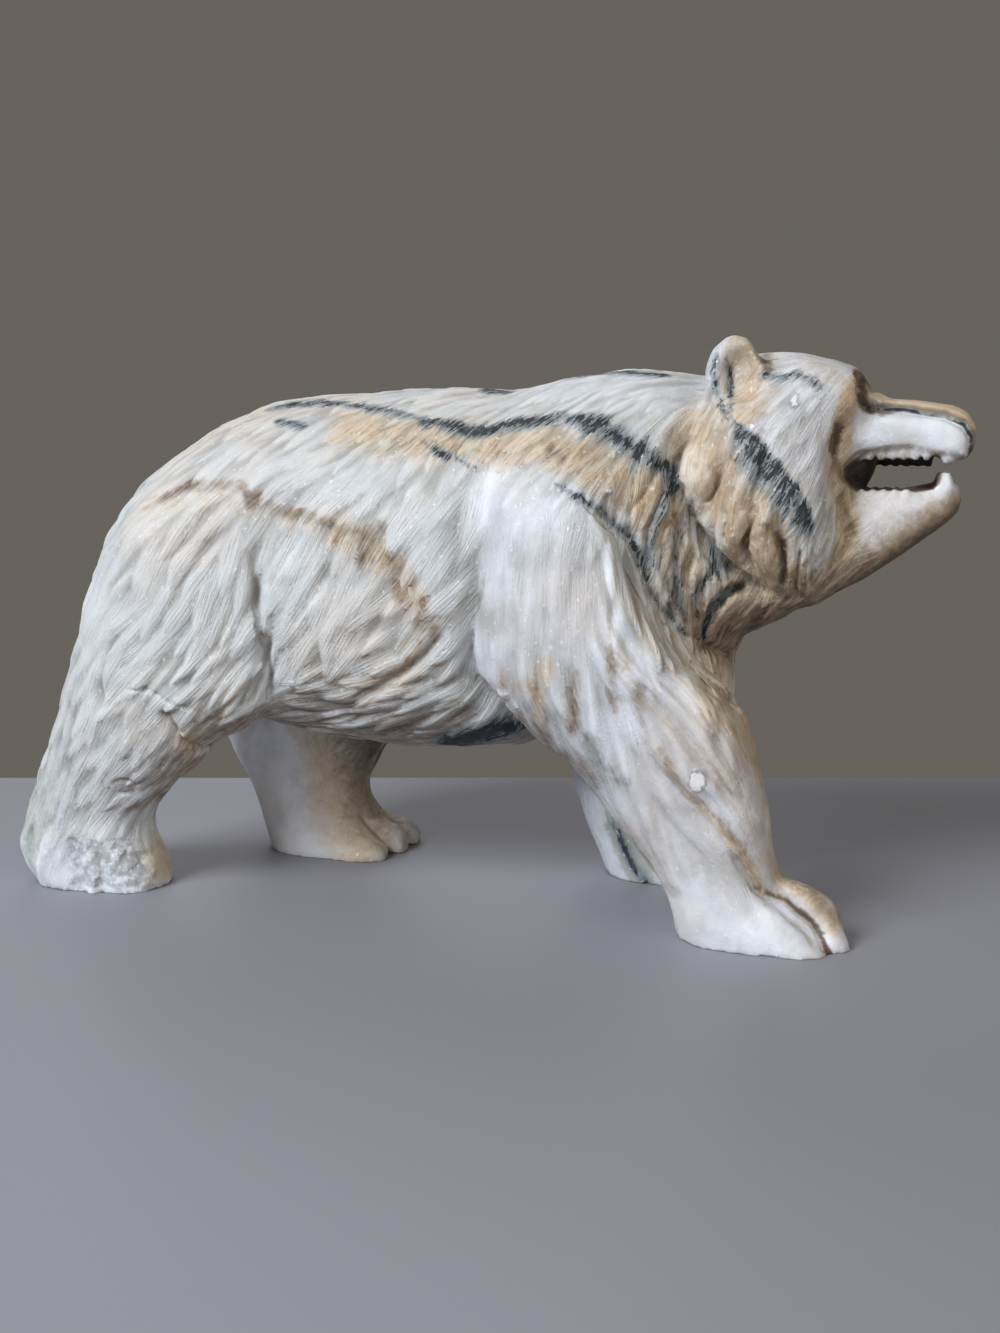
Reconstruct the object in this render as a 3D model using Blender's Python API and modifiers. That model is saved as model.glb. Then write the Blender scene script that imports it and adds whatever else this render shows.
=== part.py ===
"""A walking bear carved from one block of banded calcite, its jaws open.

Frame: X runs along the bear with the nose at +X, Y across it with the bear's left at +Y, and Z is up
with the four soles on Z = 0. Sizes are in millimetres, and MM turns them to metres. The bear is
pressed from overlapping masses like a clay model, then carved: creases first, locks of fur after them.
"""

import math

import bmesh
import bpy
import numpy as np
from mathutils import Matrix, Vector
from mathutils.kdtree import KDTree

MM = 0.001
RIGHT, BOTH, LEFT = -1, 0, 1

BODY_GRAIN = 1.15  # voxel of the clay that the body is pressed from
HEAD_GRAIN = 0.8
CARVING_GRAIN = 0.85
BODY_ROUNDS = 12  # rounds of smoothing that blend the masses
HEAD_ROUNDS = 4
FACETS = 8950  # triangles of the finished solid, before the teeth
RING_POINTS = 28
RING_SPACING = 2.5
STONE_COLOUR = (0.84, 0.81, 0.77, 1)
STONE_ROUGHNESS = 0.4

# Torso and neck: station along X, top, underside, half-width
TORSO = (
    (-84, 63, 53, 6),
    (-82.6, 70.8, 49, 13),
    (-78, 80.2, 46, 20),
    (-69.5, 89.6, 43, 26),
    (-58, 97.3, 39.5, 30.5),
    (-43, 103.8, 34.5, 32.5),
    (-20, 106.2, 31, 32.5),
    (0, 107, 31, 32.5),
    (12, 106.6, 32.5, 32),
    (20, 108.6, 35, 31),
    (30, 110.2, 37, 29.5),
    (42, 110, 38, 26),
    (50, 107, 39.5, 20),
    (55.5, 98, 42, 12),
)
NECK = (
    (28, 109, 54, 24),
    (40, 109.6, 52, 22),
    (50, 108.8, 51, 18),
    (58, 106, 57, 15.5),
    (68, 102, 61.5, 12.5),
)
# Legs: height, back edge, front edge, middle across, half-width
RIGHT_FORE = (
    (97, 17, 37, 14, 9),
    (88, 10, 40, 17.5, 14.5),
    (74, 7.5, 42, 20, 16.5),
    (60, 7, 48, 21.5, 16),
    (53, 7.8, 54, 22, 15.5),
    (45, 13, 60.5, 22, 14.5),
    (35, 25, 63.5, 21.5, 13),
    (26, 33, 65.5, 21, 12),
    (15, 41.3, 67.5, 20, 11.5),
    (8, 46.2, 70, 19.5, 12),
    (2, 47.8, 73, 19.5, 12.5),
    (-4, 49, 73, 19.5, 12.5),
)
LEFT_FORE = (
    (94, 14, 36, 14, 9),
    (84, 6, 40, 17.5, 14.5),
    (70, 2, 42, 20, 16.5),
    (56, 2, 44, 21, 15.5),
    (44, 6, 47, 21, 14),
    (34, 12, 47, 20.5, 13),
    (23, 17.5, 47.5, 20, 12),
    (12, 20.8, 46.5, 19.5, 11.5),
    (5, 24, 51, 19.5, 12),
    (-4, 27.5, 53, 19.5, 12.5),
)
RIGHT_HIND = (
    (90, -60, -44, 12, 10),
    (80, -70, -38, 17, 15),
    (69, -76, -36.5, 20, 15),
    (55, -80.5, -36, 21.5, 14.5),
    (45, -84, -36, 22, 14),
    (39, -86, -40.5, 22, 13),
    (33, -88, -49, 22, 12),
    (23, -92.5, -61, 21, 11),
    (15, -96, -67.5, 20.5, 10.5),
    (10.5, -97.6, -67, 20.5, 11),
    (5, -97.2, -64, 20.5, 11.5),
    (-4, -90, -63.5, 20.5, 11.5),
)
LEFT_HIND = (
    (90, -60, -44, 12, 10),
    (80, -69, -34, 17, 15),
    (68, -74, -26, 20, 15),
    (52, -74, -22, 21.5, 14),
    (40, -71, -22, 21.5, 13.5),
    (30, -69, -25, 21, 12.5),
    (23, -66, -28.5, 20.5, 11.5),
    (14, -60.5, -32.6, 20, 10.5),
    (8, -58, -29, 19.5, 12),
    (3, -56.5, -25, 19.5, 12.6),
    (-4, -54.5, -25, 19.5, 13),
)
# Head: station along X, top, underside, half-width
SKULL = (
    (47.5, 97, 86, 9),
    (50, 104, 80, 16),
    (56, 111.8, 72.3, 21.5),
    (63, 113.6, 67, 22.5),
    (70, 113, 63.2, 20),
    (75, 111.2, 65.6, 15.5),
    (78, 108.5, 72, 11),
)
BROW = (
    (68, 113, 96, 17),
    (75, 111.6, 97, 14.5),
    (79, 110, 99, 12.8),
    (80.6, 108, 101.5, 11),
)
BRIDGE = (
    (74, 112, 98, 8),
    (80, 108.6, 97, 7),
    (83.5, 104.9, 96.5, 6.4),
    (89, 104.2, 96.5, 6.2),
    (94, 103.4, 96.5, 6),
    (99.8, 101.8, 93.4, 5.4),
    (101.4, 100, 93.6, 4.8),
)
MUZZLE = (
    (72, 101.6, 92.9, 9.5),
    (80, 101.8, 93.4, 8.7),
    (90, 101.5, 94, 7.8),
    (97, 100.8, 92.4, 7.2),
    (99.8, 99.6, 92, 6.6),
)
JAW = (
    (66, 88, 63.4, 11),
    (76, 86.6, 66.4, 9.8),
    (86, 86.7, 72.2, 8.4),
    (94, 88.3, 78.3, 7.2),
    (97.4, 89, 81, 6),
    (99.3, 87, 83.2, 4),
)
EAR_AT = (56.3, 14.5, 107.6)
EAR_RADII = (5.8, 4.4, 9.2)
EAR_CUP_AT = (58.3, 17.6, 108.6)
EAR_CUP_RADII = (3.9, 3.6, 5.6)
LEFT_EAR_SHIFT = Vector((-2.6, 0, -0.8))  # the left ear sits a little lower and further back
# The mouth's back end, cut across the head, and the tongue's root that closes its middle
MOUTH = (
    (76.6, 90.6, 89.6, 15),
    (77.2, 91.6, 88.4, 15),
    (78.4, 92.7, 87, 15),
    (80.4, 93.5, 86, 15),
    (84, 94, 86.2, 15),
)
MOUTH_RING_SPACING = 0.5
TONGUE_ROOT_AT = (77.6, 0, 92.4)
TONGUE_ROOT_RADII = (5.4, 6, 6.6)
EYE_AT = (81.3, 10.6, 104.8)
EYE_RADII = (1.5, 4.4, 4.6)

# Toes: middle, then radii
RIGHT_FORE_TOES = (
    ((64.5, -26.9, 2), (11.6, 5.8, 6.6)),
    ((71, -28.4, 0), (8, 4.4, 4.2)),
    ((70, -21, 3), (11, 5, 9.2)),
    ((74.6, -23.8, 0), (8.2, 4.4, 5.2)),
    ((68.4, -13, 2.6), (10.5, 4.8, 6.6)),
)
LEFT_FORE_TOES = (
    ((47, 12.8, 3), (9.6, 4.8, 6.2)),
    ((49, 20.6, 3.4), (9.6, 5, 7)),
    ((47, 28, 3), (9.2, 4.8, 6.2)),
)
LEFT_HIND_TOES = (
    ((-31.5, 10.6, 0.4), (8.2, 4.8, 4.8)),
    ((-29.5, 18.8, 1.2), (8.4, 4.8, 6)),
    ((-28.5, 26.6, 1.2), (7.8, 4.8, 5.4)),
)

# Breaks on the right hind foot, as blocks taken off it: middle, size, turn about Z in degrees
BREAKS = (
    ((-81, -36.6, 4), (10, 12, 15), 8),
    ((-71.5, -36.2, 3), (9, 12, 14), -7),
)
# Teeth: side, x of the first, count, distance from the middle, root height, length (down if < 0), radius
TEETH = (
    (RIGHT, 81.8, 6, 5.7, 94.9, -2.4, 1.3),
    (LEFT, 80.1, 7, 5.7, 94.9, -3.9, 1.6),
    (RIGHT, 80.4, 5, 6.1, 84.9, 2.2, 1.3),
    (LEFT, 80.4, 5, 6.1, 84.9, 2.2, 1.3),
    (RIGHT, 96.2, 1, 4.6, 94.6, -3, 2.2),
    (LEFT, 96.2, 1, 4.6, 94.6, -3, 2.2),
    (RIGHT, 95.7, 1, 3.8, 87.2, 3, 2.6),
    (LEFT, 95.7, 1, 3.8, 87.2, 3, 2.6),
)
TOOTH_SPACING = 2.1
TOOTH_SIDES = 5
TOOTH_TIP = 0.55  # a tooth's radius at its blunt tip, as a share of that at its root

# Creases: side, depth, how far it slopes to the left and to the right of its line, then the line's
# (x, z) points. The shoulder, haunch, cheek and ruff stand proud on the side with the short slope.
CREASES = (
    (RIGHT, 2.2, 1.8, 7, (11.5, 93), (12, 84), (12, 76), (11, 68), (9, 61), (8, 55), (8.6, 50), (13, 45), (20, 39)),
    (LEFT, 2.2, 1.8, 8, (9, 91), (3, 83), (-1, 72), (-1.6, 58), (0, 49), (5, 41)),
    (RIGHT, 2.6, 6, 2.4, (-34, 79), (-36, 71), (-36.2, 63), (-35.2, 56), (-35, 50), (-36.5, 42)),
    (LEFT, 2.2, 6, 2.2, (-32, 74), (-24.5, 60), (-20.5, 48), (-21, 40)),
    (RIGHT, 2.8, 7, 2.2, (31.5, 88), (36.5, 81), (40.4, 74), (43.4, 67), (47.5, 60), (53, 54), (58, 47)),
    (LEFT, 2.2, 6, 2.2, (34, 80), (39, 68), (43, 58), (47, 49)),
    (RIGHT, 1.4, 5, 1.4, (-45, 43.5), (-48.2, 39), (-50.6, 35), (-54, 31)),
    (RIGHT, 2.0, 3.4, 1.2, (61.4, 17), (64, 12), (66.5, 9.8), (70, 8.3), (74.7, 5), (77.1, 2.2), (79, 0)),
    (BOTH, 1.5, 3, 2, (75.6, 100), (75.4, 95), (75, 89), (76, 84), (78.2, 79), (79, 74)),
    (BOTH, 2.8, 1.8, 6, (51.6, 99.5), (46.8, 94), (46.4, 89), (49, 83), (52.6, 76.4), (57.6, 71), (65.6, 66)),
    (BOTH, 1.4, 1.6, 1.6, (79, 102.2), (88, 102.2), (95.5, 101.6), (98.6, 100), (99.8, 96)),
)
CREASE_CLEAR_OF_MIDDLE = 4  # creases stay this far from the bear's middle plane
CREASE_RUN_OUT = 0.2  # share of a crease's length over which each end runs out

# Fur: side, x, z, direction that it lies in degrees from +X, lock length, half-width, relief
FUR = (
    (BOTH, -67, 90, 209, 15, 2.3, 1.0),
    (BOTH, -43, 102, 214, 14, 2.3, 0.9),
    (BOTH, -13, 106, 222, 13, 2.3, 0.9),
    (BOTH, 21, 107, 218, 13, 2.3, 0.9),
    (BOTH, 45, 107, 215, 14, 2.3, 0.9),
    (BOTH, -55, 79, 230, 16, 2.5, 1.1),
    (BOTH, -78, 64, 238, 15, 2.5, 1.1),
    (BOTH, -38, 66, 246, 15, 2.4, 1.1),
    (BOTH, -48, 45, 226, 15, 2.4, 1.1),
    (RIGHT, -72, 32, 237, 15, 2.4, 1.1),
    (RIGHT, -82, 15, 240, 11, 2.4, 0.7),
    (RIGHT, -62, 8, 220, 10, 3, 0),
    (LEFT, -50, 30, 255, 14, 2.6, 0.6),
    (LEFT, -45, 12, 270, 12, 2.6, 0.2),
    (BOTH, -2, 84, 228, 15, 2.4, 1.1),
    (BOTH, 7, 73, 222, 15, 2.2, 1.1),
    (BOTH, -17, 68, 238, 16, 2.5, 1.2),
    (BOTH, -30, 64, 247, 15, 2.4, 1.1),
    (BOTH, -5, 53, 214, 16, 2.3, 1.1),
    (BOTH, -27, 44, 190, 16, 2.2, 1.0),
    (BOTH, -5, 38, 195, 16, 2.4, 0.8),
    (BOTH, 22, 86, 250, 18, 2.5, 1.0),
    (BOTH, 20, 66, 262, 20, 2.6, 1.1),
    (BOTH, 33, 68, 272, 24, 2.6, 1.5),
    (BOTH, 27, 46, 272, 22, 2.6, 1.5),
    (RIGHT, 45, 48, 302, 26, 2.6, 1.7),
    (RIGHT, 52, 34, 310, 26, 2.6, 1.5),
    (RIGHT, 44, 22, 288, 20, 2.6, 1.1),
    (RIGHT, 62, 19, 302, 14, 2.5, 0.6),
    (RIGHT, 64, 5, 320, 12, 3, 0),
    (LEFT, 30, 30, 275, 20, 2.5, 0.9),
    (LEFT, 34, 14, 285, 14, 2.6, 0.5),
    (LEFT, 40, 4, 310, 12, 3, 0),
    (BOTH, 46, 63, 290, 22, 2.4, 1.6),
    (BOTH, 27, 96, 238, 14, 2.3, 1.1),
    (BOTH, 40, 92, 232, 15, 2.3, 1.4),
    (BOTH, 44, 80, 243, 17, 2.3, 1.8),
    (BOTH, 51, 70, 256, 19, 2.2, 2.0),
    (BOTH, 54, 58, 268, 20, 2.3, 1.9),
    (BOTH, 66, 112, 205, 10, 1.8, 0.4),
    (BOTH, 70, 97, 232, 12, 1.6, 0.5),
    (BOTH, 54, 92, 240, 18, 2.8, 1.9),
    (BOTH, 58, 82, 248, 19, 2.7, 2.0),
    (BOTH, 64, 73, 262, 17, 2.5, 1.8),
    (BOTH, 74, 76, 236, 12, 1.8, 0.6),
    (BOTH, 79, 105, 230, 8, 2, 0.1),
    (BOTH, 84, 98, 180, 10, 3, 0),
    (BOTH, 96, 97, 180, 10, 3, 0),
    (BOTH, 84, 78, 200, 10, 3, 0),
    (BOTH, 96, 85, 200, 10, 3, 0),
)
LOCK_APART_ALONG = 0.56  # roots lie this many lock lengths apart along the fur
LOCK_APART_ACROSS = 1.5  # and this many half-widths apart across it
LOCK_LENGTHS = (0.75, 1.35)  # each lock's length, width and relief, as shares of the fur's own
LOCK_WIDTHS = (0.75, 1.25)
LOCK_RELIEFS = (0.7, 1.3)
LOCK_LEAN = 0.14  # most that a lock leans off the fur's direction, as a slope
LOCK_BEND = 0.015  # most that it curves, per millimetre
LOCK_PEAK = 0.7  # where along the lock its back is highest
LOCK_TIP = 0.12  # share of its length over which the tip drops to the skin
SETTLE = 0.4  # share of the relief by which the skin sinks under the locks
LEAST_RELIEF = 0.12  # smoother stone than this has no locks


def through(stations, spacing):
    """Rows on a smooth curve through the stations, evenly spaced along their first column."""
    table = np.array(stations, float)
    along = table[:, 0]
    slopes = np.gradient(table, along, axis=0)
    heading = 1 if along[-1] > along[0] else -1
    count = int(abs(along[-1] - along[0]) / spacing) + 2
    rows = []
    for place in np.linspace(along[0], along[-1], count):
        i = np.searchsorted(heading * along, heading * place, side="right") - 1
        i = min(max(i, 0), len(along) - 2)
        step = along[i + 1] - along[i]
        t = (place - along[i]) / step
        rows.append(
            table[i] * (2 * t**3 - 3 * t**2 + 1)
            + slopes[i] * step * (t**3 - 2 * t**2 + t)
            + table[i + 1] * (3 * t**2 - 2 * t**3)
            + slopes[i + 1] * step * (t**3 - t**2)
        )
    return rows


def ring_point(i, power):
    """Point i of a unit ring: a circle at power 2, squarer above it."""
    angle = 2 * math.pi * i / RING_POINTS
    first, second = math.cos(angle), math.sin(angle)
    return (
        math.copysign(abs(first) ** (2 / power), first),
        math.copysign(abs(second) ** (2 / power), second),
    )


def upright_rings(stations, power, spacing=RING_SPACING):
    """Rings that stand across X, from (x, top, underside, half-width) stations."""
    rings = []
    for x, top, under, half in through(stations, spacing):
        ring = []
        for i in range(RING_POINTS):
            across, up = ring_point(i, power)
            ring.append((x, half * across, (top + under) / 2 + (top - under) / 2 * up))
        rings.append(ring)
    return rings


def level_rings(stations, side, power):
    """Rings that lie level, from (z, back, front, middle across, half-width) stations."""
    rings = []
    for z, back, front, middle, half in through(stations, RING_SPACING):
        ring = []
        for i in range(RING_POINTS):
            along, across = ring_point(i, power)
            x = (back + front) / 2 + (front - back) / 2 * along
            ring.append((x, side * (middle + half * across), z))
        rings.append(ring)
    return rings


def loft(clay, rings):
    """Adds a closed skin over the rings."""
    loops = [[clay.verts.new(point) for point in ring] for ring in rings]
    made = [clay.faces.new(loops[0]), clay.faces.new(loops[-1])]
    for first, second in zip(loops, loops[1:]):
        for i in range(RING_POINTS):
            j = (i + 1) % RING_POINTS
            made.append(clay.faces.new((first[i], first[j], second[j], second[i])))
    bmesh.ops.recalc_face_normals(clay, faces=made)


def ball(clay, middle, radii):
    """Adds an ellipsoid."""
    made = bmesh.ops.create_uvsphere(clay, u_segments=24, v_segments=16, radius=1)
    bmesh.ops.scale(clay, vec=radii, verts=made["verts"])
    bmesh.ops.translate(clay, vec=middle, verts=made["verts"])


def pair_of_balls(clay, middle, radii, left_shift=Vector((0, 0, 0))):
    """Adds the same ellipsoid on the bear's right and on its left."""
    ball(clay, (middle[0], -middle[1], middle[2]), radii)
    ball(clay, Vector(middle) + left_shift, radii)


def mesh_object(name, clay, collection):
    """An object from the clay, turned from millimetres to metres."""
    bmesh.ops.scale(clay, vec=(MM, MM, MM), verts=clay.verts)
    mesh = bpy.data.meshes.new(name)
    clay.to_mesh(mesh)
    clay.free()
    made = bpy.data.objects.new(name, mesh)
    collection.objects.link(made)
    return made


def apply_modifiers(made):
    graph = bpy.context.evaluated_depsgraph_get()
    made.data = bpy.data.meshes.new_from_object(made.evaluated_get(graph))
    made.modifiers.clear()


def press(made, grain, rounds):
    """Presses overlapping masses into one body, then smooths it."""
    remesh = made.modifiers.new("press", "REMESH")
    remesh.mode = "VOXEL"
    remesh.voxel_size = grain * MM
    remesh.adaptivity = 0
    if rounds:
        smooth = made.modifiers.new("smooth", "SMOOTH")
        smooth.factor = 0.5
        smooth.iterations = rounds
    apply_modifiers(made)


def cut(made, cutter):
    boolean = made.modifiers.new("cut " + cutter.name, "BOOLEAN")
    boolean.operation = "DIFFERENCE"
    boolean.solver = "EXACT"
    boolean.object = cutter
    apply_modifiers(made)


def body_mass(collection):
    """Torso, neck and legs with their toes, blended where they meet."""
    clay = bmesh.new()
    loft(clay, upright_rings(TORSO, 2.15))
    loft(clay, upright_rings(NECK, 2.1))
    loft(clay, level_rings(RIGHT_FORE, RIGHT, 2.3))
    loft(clay, level_rings(LEFT_FORE, LEFT, 2.3))
    loft(clay, level_rings(RIGHT_HIND, RIGHT, 2.3))
    loft(clay, level_rings(LEFT_HIND, LEFT, 2.3))
    body = mesh_object("bear", clay, collection)
    press(body, BODY_GRAIN, BODY_ROUNDS)
    return body


def head_mass(collection):
    """Skull, brow, muzzle, jaw and ears."""
    clay = bmesh.new()
    loft(clay, upright_rings(SKULL, 2.2))
    loft(clay, upright_rings(BROW, 2.4))
    loft(clay, upright_rings(BRIDGE, 2.6))
    loft(clay, upright_rings(MUZZLE, 4.5))
    loft(clay, upright_rings(JAW, 3))
    pair_of_balls(clay, EAR_AT, EAR_RADII, LEFT_EAR_SHIFT)
    head = mesh_object("head", clay, collection)
    press(head, HEAD_GRAIN, HEAD_ROUNDS)
    return head


def hollow(bear, cutters):
    """Hollows the ears, eyes and the mouth's back end, and breaks the right hind foot."""
    clay = bmesh.new()
    pair_of_balls(clay, EAR_CUP_AT, EAR_CUP_RADII, LEFT_EAR_SHIFT)
    pair_of_balls(clay, EYE_AT, EYE_RADII)
    cut(bear, mesh_object("hollows", clay, cutters))
    clay = bmesh.new()
    loft(clay, upright_rings(MOUTH, 4, MOUTH_RING_SPACING))
    cut(bear, mesh_object("mouth", clay, cutters))
    for number, (middle, size, turn) in enumerate(BREAKS):
        clay = bmesh.new()
        block = bmesh.ops.create_cube(clay, size=1)["verts"]
        bmesh.ops.scale(clay, vec=size, verts=block)
        turned = Matrix.Rotation(math.radians(turn), 3, "Z")
        bmesh.ops.rotate(clay, cent=(0, 0, 0), matrix=turned, verts=block)
        bmesh.ops.translate(clay, vec=middle, verts=block)
        cut(bear, mesh_object(f"break_{number}", clay, cutters))


def set_teeth(bear, cutters):
    """Joins rows of blunt teeth to both jaws."""
    clay = bmesh.new()
    for side, start, count, across, root, length, radius in TEETH:
        for i in range(count):
            cone = bmesh.ops.create_cone(
                clay,
                cap_ends=True,
                segments=TOOTH_SIDES,
                radius1=radius,
                radius2=radius * TOOTH_TIP,
                depth=abs(length),
            )["verts"]
            if length < 0:
                flip = Matrix.Rotation(math.pi, 3, "X")
                bmesh.ops.rotate(clay, cent=(0, 0, 0), matrix=flip, verts=cone)
            place = (start + i * TOOTH_SPACING, side * across, root + length / 2)
            bmesh.ops.translate(clay, vec=place, verts=cone)
    teeth = mesh_object("teeth", clay, cutters)
    union = bear.modifiers.new("teeth", "BOOLEAN")
    union.operation = "UNION"
    union.solver = "MANIFOLD"
    union.object = teeth
    apply_modifiers(bear)


def joined(first, second):
    """Both meshes in the first object."""
    clay = bmesh.new()
    clay.from_mesh(first.data)
    clay.from_mesh(second.data)
    clay.to_mesh(first.data)
    clay.free()
    bpy.data.objects.remove(second)
    return first


def skin_of(made):
    """The points and normals of the object's skin, in millimetres."""
    points = np.empty(len(made.data.vertices) * 3)
    made.data.vertices.foreach_get("co", points)
    normals = np.empty(len(made.data.vertices) * 3)
    made.data.vertices.foreach_get("normal", normals)
    return points.reshape(-1, 3) / MM, normals.reshape(-1, 3)


def push(made, points, normals, height):
    """Moves the skin out along its normals by a height in millimetres."""
    moved = (points + normals * height[:, None]) * MM
    made.data.vertices.foreach_set("co", moved.ravel())
    made.data.update()


def on_side(points, side):
    return np.ones(len(points), bool) if side == BOTH else points[:, 1] * side > 0


def crease_depth(points, crease):
    """How deep one crease is at each point, seen from the side."""
    side, depth, left_slope, right_slope, *path = crease
    here = on_side(points, side) & (abs(points[:, 1]) > CREASE_CLEAR_OF_MIDDLE)
    flat = points[here][:, [0, 2]]
    path = np.array(path, float)
    along = np.concatenate([[0], np.cumsum(np.hypot(*np.diff(path, axis=0).T))])
    nearest = np.full(len(flat), np.inf)
    place = np.zeros(len(flat))
    slope = np.zeros(len(flat))
    for i in range(len(path) - 1):
        run = path[i + 1] - path[i]
        t = np.clip((flat - path[i]) @ run / (run @ run), 0, 1)
        away = np.linalg.norm(flat - path[i] - t[:, None] * run, axis=1)
        turn = run[0] * (flat - path[i])[:, 1] - run[1] * (flat - path[i])[:, 0]
        closer = away < nearest
        nearest[closer] = away[closer]
        slope[closer] = np.where(turn > 0, left_slope, right_slope)[closer]
        reached = along[i] + t * (along[i + 1] - along[i])
        place[closer] = reached[closer] / along[-1]
    ends = np.clip(np.minimum(place, 1 - place) / CREASE_RUN_OUT, 0, 1)
    cross = np.clip(1 - nearest / slope, 0, 1) ** 1.5
    found = np.zeros(len(points))
    found[here] = depth * ends * cross
    return found


def combed(points, normals):
    """The fur at each point: its direction along the skin, and its length, half-width and relief."""
    weight = np.zeros((len(points), len(FUR)))
    for i, (side, x, z, *_) in enumerate(FUR):
        away = (points[:, 0] - x) ** 2 + (points[:, 2] - z) ** 2
        weight[:, i] = on_side(points, side) / (away + 6) ** 2
    weight /= weight.sum(axis=1, keepdims=True)
    table = np.array([row[3:] for row in FUR], float)
    angle = np.radians(table[:, 0])
    flow = np.zeros((len(points), 3))
    flow[:, 0] = weight @ np.cos(angle)
    flow[:, 2] = weight @ np.sin(angle)
    flow[:, 1] = np.sign(points[:, 1]) * 0.35 * np.clip(normals[:, 2], 0, 1)
    flow -= normals * (flow * normals).sum(axis=1, keepdims=True)
    flow /= np.linalg.norm(flow, axis=1, keepdims=True) + 1e-9
    length, half, relief = (weight @ table[:, 1:]).T
    inward = -normals[:, 1] * np.sign(points[:, 1])
    hidden = (inward > 0.2) & (points[:, 2] < 38)
    return flow, length, half, relief * np.where(hidden, 0.3, 1)


def lock_roots(points, normals, flow, length, half, relief, dice):
    """Places for the locks, spread so that they overlap like shingles."""
    chosen = []
    taken = np.empty((0, 3))
    for i in dice.permutation(len(points))[: len(points) // 5]:
        if relief[i] < LEAST_RELIEF or points[i, 2] < 1:
            continue
        if len(chosen):
            away = points[i] - taken
            ahead = away @ flow[i]
            aside = away @ np.cross(normals[i], flow[i])
            through_skin = away @ normals[i]
            reach = (ahead / (LOCK_APART_ALONG * length[i])) ** 2
            reach += (aside / (LOCK_APART_ACROSS * half[i])) ** 2
            if (reach + (through_skin / 6) ** 2).min() < 1:
                continue
        chosen.append(i)
        taken = points[chosen]
    return chosen


def lock_heights(points, normals, dice):
    """The height of the fur over the skin: pointed locks, each highest near its tip."""
    flow, length, half, relief = combed(points, normals)
    tree = KDTree(len(points))
    for i, point in enumerate(points):
        tree.insert(Vector(point), i)
    tree.balance()
    height = np.zeros(len(points))
    for i in lock_roots(points, normals, flow, length, half, relief, dice):
        long = length[i] * dice.uniform(*LOCK_LENGTHS)
        wide = half[i] * dice.uniform(*LOCK_WIDTHS)
        tall = relief[i] * dice.uniform(*LOCK_RELIEFS)
        bend = dice.uniform(-LOCK_BEND, LOCK_BEND)
        aside_way = np.cross(normals[i], flow[i])
        ahead_way = flow[i] + aside_way * dice.uniform(-LOCK_LEAN, LOCK_LEAN)
        aside_way = np.cross(normals[i], ahead_way)
        found = tree.find_range(Vector(points[i]), long * 0.62)
        near = np.array([index for _, index, _ in found])
        near = near[normals[near] @ normals[i] > 0.2]
        away = points[near] - points[i]
        ahead = away @ ahead_way
        t = ahead / long + 0.5
        aside = away @ aside_way + bend * ahead**2
        t = np.clip(t, 0, 1)
        leaf = np.where(t < 0.5, 0.45 + 1.1 * t, 1 - ((t - 0.5) / 0.5) ** 2)
        rise = np.clip(t / LOCK_PEAK, 0, 1) ** 0.8 * np.clip((1 - t) / LOCK_TIP, 0, 1)
        ridge = 1 - np.clip(abs(aside) / (wide * leaf + 0.05), 0, 1) ** 1.6
        height[near] = np.maximum(height[near], tall * rise * ridge)
    return height - SETTLE * relief


def carve(bear):
    """Creases between the masses, then the locks of fur."""
    points, normals = skin_of(bear)
    push(bear, points, normals, -sum(crease_depth(points, crease) for crease in CREASES))
    points, normals = skin_of(bear)
    dice = np.random.default_rng(7)
    push(bear, points, normals, lock_heights(points, normals, dice))


def stand(bear, cutters):
    """Cuts the soles flat on Z = 0 and sets the bear's box in the middle of X and Y."""
    ground = bmesh.new()
    bmesh.ops.create_cube(ground, size=1)
    bmesh.ops.scale(ground, vec=(260, 120, 40), verts=ground.verts)
    bmesh.ops.translate(ground, vec=(0, 0, -20), verts=ground.verts)
    cut(bear, mesh_object("ground", ground, cutters))
    points, _ = skin_of(bear)
    middle = (points.min(axis=0) + points.max(axis=0)) / 2 * MM
    for vertex in bear.data.vertices:
        vertex.co -= Vector((middle[0], middle[1], 0))


def stone():
    """Pale calcite, satin where it is rubbed smooth."""
    material = bpy.data.materials.new("banded calcite")
    material.use_nodes = True
    shader = material.node_tree.nodes["Principled BSDF"]
    shader.inputs["Base Color"].default_value = STONE_COLOUR
    shader.inputs["Roughness"].default_value = STONE_ROUGHNESS
    shader.inputs["Metallic"].default_value = 0
    return material


def main():
    for old in list(bpy.data.objects):
        bpy.data.objects.remove(old)
    collection = bpy.data.collections.new("calcite_bear")
    cutters = bpy.data.collections.new("cutters")
    bpy.context.scene.collection.children.link(collection)
    bpy.context.scene.collection.children.link(cutters)

    body = body_mass(collection)
    toes = bmesh.new()
    for feet in (RIGHT_FORE_TOES, LEFT_FORE_TOES, LEFT_HIND_TOES):
        for middle, radii in feet:
            ball(toes, middle, radii)
    body = joined(body, mesh_object("toes", toes, collection))
    bear = joined(body, head_mass(collection))
    press(bear, CARVING_GRAIN, 3)
    hollow(bear, cutters)
    tongue = bmesh.new()
    ball(tongue, TONGUE_ROOT_AT, TONGUE_ROOT_RADII)
    bear = joined(bear, mesh_object("tongue_root", tongue, collection))
    press(bear, CARVING_GRAIN, 0)
    carve(bear)
    press(bear, CARVING_GRAIN, 1)
    facets = bear.modifiers.new("facets", "DECIMATE")
    facets.ratio = FACETS / (2 * len(bear.data.polygons))
    apply_modifiers(bear)
    set_teeth(bear, cutters)
    stand(bear, cutters)
    bear.data.materials.clear()
    bear.data.materials.append(stone())

    for cutter in cutters.objects:
        cutter.hide_render = True
        cutter.display_type = "WIRE"


main()
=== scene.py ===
import math

import bmesh
import bpy
import numpy as np
from mathutils import Matrix, Vector, noise
from mathutils.kdtree import KDTree


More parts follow.
